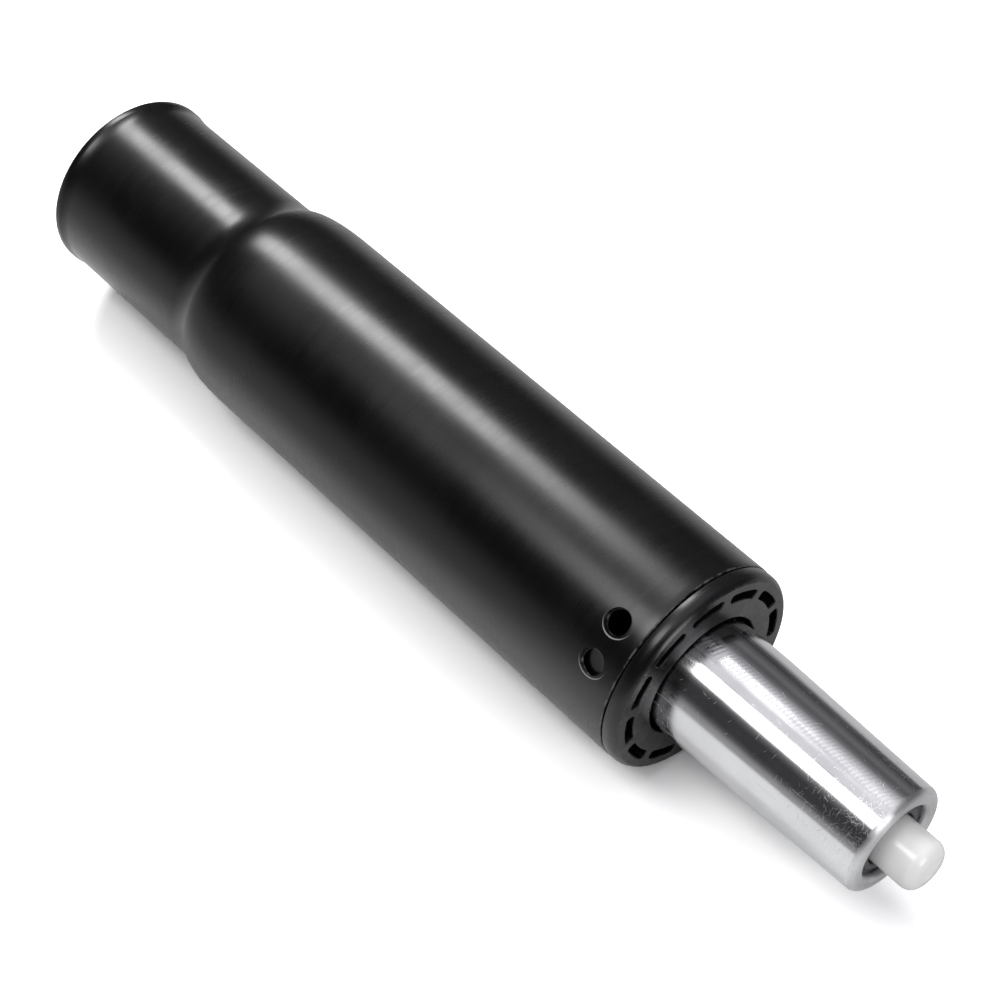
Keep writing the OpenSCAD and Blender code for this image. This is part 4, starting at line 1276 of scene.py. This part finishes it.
@dataclass
class Studio:
    """Floor, lamp panels, light tent and camera of the photograph.

    The floor's fades run between two places in metres. floor_behind and floor_beside are its
    brightness in the black tube, on the -X and the +X side, and floor_ahead is that in the chrome: painted
    light and shade on the floor, seen only in reflections.
    """

    floor_height: float = 25.0
    floor_middle: float = 100.0
    floor_radius: float = 1.2
    floor_seen: float = 1.55
    floor_lit: float = 0.60
    floor_behind: Fade = (-0.26, -0.08, 0.34, 0.58)
    floor_beside: Fade = (0.02, 0.11, 0.92, 0.47)
    floor_ahead: Fade = (-0.02, 0.02, 0.58, 0.93)
    floor_sides: Point = (-0.02, 0.02)
    floor_ends: Point = (0.09, 0.165)
    panel_edges: Point = (0.45, 0.35)
    tent_radius: float = 6.0
    camera_place: Place = (226.4, -408.7, 390.4)
    right: Place = (-0.7479, 0.0, 0.6638)
    down: Place = (0.5095, 0.6409, 0.5741)
    forward: Place = (-0.4254, 0.7676, -0.4793)
    focal_pixels: float = 2438.06
    image_pixels: float = 1000.0
    far_wall: tuple[Point, ...] = (
        (0.0, 0.15), (0.08, 0.10), (0.18, 0.06), (0.33, 0.14), (0.47, 0.20), (0.61, 0.12), (0.72, 0.22),
        (0.81, 0.60), (0.88, 0.95), (1.0, 1.02))
    near_wall: tuple[Point, ...] = (
        (0.0, 0.43), (0.10, 0.30), (0.2, 0.12), (0.32, 0.055), (0.6, 0.055), (0.73, 0.15), (0.81, 0.55),
        (0.88, 0.95), (1.0, 1.02))
    wall_change: Point = (-0.2, 0.2)
    made: list[Shape] = field(default_factory=list)

    def floor(self) -> None:
        """Lays the white floor under the cylinder, seen only from above."""
        Bench.clear()
        bpy.ops.mesh.primitive_circle_add(vertices=64, radius=self.floor_radius, fill_type="NGON",
                                          location=AXIS)
        floor = bpy.context.object
        floor.name = "floor"
        Bench.place(floor, Matrix.Translation(Vector((0, self.floor_height, self.floor_middle)) * MM)
                    @ Matrix.Rotation(math.radians(90), 4, "X"))
        g, material = Graph.material("white_floor")
        path = g.add("LightPath")
        # Mirrored rays see painted light and shade: the floor's brightness changes from side to side and
        # along the cylinder.
        mirrored = g.math("MAXIMUM", path.outputs["Is Glossy Ray"], path.outputs["Is Transmission Ray"])
        x, _, z = g.axes()
        sides = g.blend(g.spread(x, *self.floor_sides), g.spread(x, *self.floor_behind),
                        g.spread(x, *self.floor_beside))
        shown = g.blend(g.spread(z, *self.floor_ends), sides, g.spread(x, *self.floor_ahead))
        paper = g.blend(mirrored, (self.floor_lit,) * 3, shown)
        paper = g.blend(path.outputs["Is Camera Ray"], paper, (self.floor_seen,) * 3)
        g.one_sided(g.add("BsdfDiffuse", {"Color": paper}))
        floor.data.materials.append(material)
        self.made.append(floor)

    def panel(self, lamp: Panel) -> None:
        """Hangs a lamp panel, with edges that fade and a back that lets light through.

        Args:
            lamp: The panel.
        """
        Bench.clear()
        bpy.ops.mesh.primitive_plane_add(size=2.0, location=AXIS)
        panel = bpy.context.object
        panel.name = lamp.name
        bpy.ops.object.mode_set(mode="EDIT")
        bpy.ops.mesh.subdivide(number_cuts=3)
        bpy.ops.object.mode_set(mode="OBJECT")
        panel.matrix_world = lamp.matrix()
        g, material = Graph.material(lamp.name)
        fade: object = lamp.strength
        for across, soft in zip(g.axes(), self.panel_edges):
            out = g.math("ABSOLUTE", across)
            fade = g.math("MULTIPLY", g.spread(out, 1.0 - soft, 1.0, 1.0, 0.0), fade)
        g.one_sided(g.add("Emission", {"Strength": fade}))
        panel.data.materials.append(material)
        panel.visible_camera = False
        self.made.append(panel)

    @staticmethod
    def ramp(g: Graph, height: Socket, stops: tuple[Point, ...]) -> Socket:
        """Colour of a tent wall by height, with a trace of blue.

        Args:
            g: The graph.
            height: Height on the tent, from 0 at the floor to 1 overhead.
            stops: Height and brightness of each stop.

        Returns:
            The colour output.
        """
        node = g.add("ValToRGB", {0: height})
        elements = node.color_ramp.elements
        elements.remove(elements[-1])
        for index, (place, grey) in enumerate(stops):
            stop = elements[0] if index == 0 else elements.new(place)
            stop.position = place
            stop.color = (grey, grey * 0.99, grey * 1.04, 1.0)
        return node.outputs[0]

    def tent(self) -> None:
        """Puts a light tent round everything: a pale roof over darker walls, one on each side."""
        Bench.clear()
        bpy.ops.mesh.primitive_ico_sphere_add(subdivisions=4, radius=self.tent_radius, location=AXIS)
        tent = bpy.context.object
        tent.name = "light_tent"
        g, material = Graph.material("light_tent")
        way = g.add("VectorMath", {0: g.place()}, operation="NORMALIZE")
        x, y, _ = g.add("SeparateXYZ", {0: way.outputs[0]}).outputs
        height = g.math("MULTIPLY", y, -1.0)
        walls = g.blend(g.spread(x, *self.wall_change), self.ramp(g, height, self.far_wall),
                        self.ramp(g, height, self.near_wall))
        light = g.add("Emission", {"Color": walls, "Strength": 1.0})
        g.feed(g.add("OutputMaterial"), 0, light.outputs[0])
        material.cycles.emission_sampling = "NONE"
        tent.data.materials.append(material)
        tent.visible_camera = False
        self.made.append(tent)

    def backdrop(self) -> None:
        """Makes the world a plain white backdrop, which the tent keeps off the part."""
        world = bpy.data.worlds.new("white_backdrop")
        world.use_nodes = True
        bpy.context.scene.world = world
        g = Graph(world.node_tree)
        g.tree.nodes.clear()
        light = g.add("Background", {"Color": (1.0, 1.0, 1.0, 1.0), "Strength": 1.0})
        g.feed(g.add("OutputWorld"), 0, light.outputs[0])

    def camera(self) -> None:
        """Puts the camera where the photograph was taken from."""
        data = bpy.data.cameras.new("photo_camera")
        data.sensor_width = 36.0
        data.lens = self.focal_pixels / self.image_pixels * data.sensor_width
        data.clip_start, data.clip_end = 0.01, 20.0
        camera = bpy.data.objects.new("photo_camera", data)
        bpy.context.scene.collection.objects.link(camera)
        right, up, back = Vector(self.right), -Vector(self.down), -Vector(self.forward)
        matrix = Matrix((right, up, back)).transposed().to_4x4()
        matrix.translation = Vector(self.camera_place) * MM
        camera.matrix_world = matrix
        bpy.context.scene.camera = camera

    def build(self) -> None:
        """Builds the whole studio."""
        self.floor()
        for lamp in PANELS:
            self.panel(lamp)
        self.tent()
        self.backdrop()
        self.camera()
        bpy.context.scene.view_settings.view_transform = "Standard"
        LOG.info("studio: %d staged pieces", len(self.made))


# Assembly

class GasLift:
    """The dressed assembly: new pieces for what shows, finishes for what stays from the CAD."""

    def __init__(self) -> None:
        """Builds the materials."""
        effects = Effects()
        self.materials = {finish.slot: finish.material(effects) for finish in FINISHES}
        self.slots = {part["node"]: part["material_slot"] for part in frame["record"]["subparts"]}

    def build_pieces(self) -> None:
        """Builds each piece that stands for a CAD node."""
        for piece in (StandingColumn(), GuideBush(), PressureTube(), TopInsert(), ReleaseButton(),
                      BottomPlate(), ClipWasher(), RodClip()):
            piece.build(self.materials)

    def dress_nodes(self) -> None:
        """Gives every CAD node the finish of its slot."""
        for name, node in frame["nodes"].items():
            node.data.materials.clear()
            node.data.materials.append(self.materials[self.slots[name]])


def main() -> None:
    """Builds the dressed part and its studio."""
    logging.basicConfig(level=logging.INFO, format="%(name)s: %(message)s")
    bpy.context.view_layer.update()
    lift = GasLift()
    lift.dress_nodes()
    lift.build_pieces()
    Studio().build()
    Bench.clear()


if __name__ == "__main__":
    main()
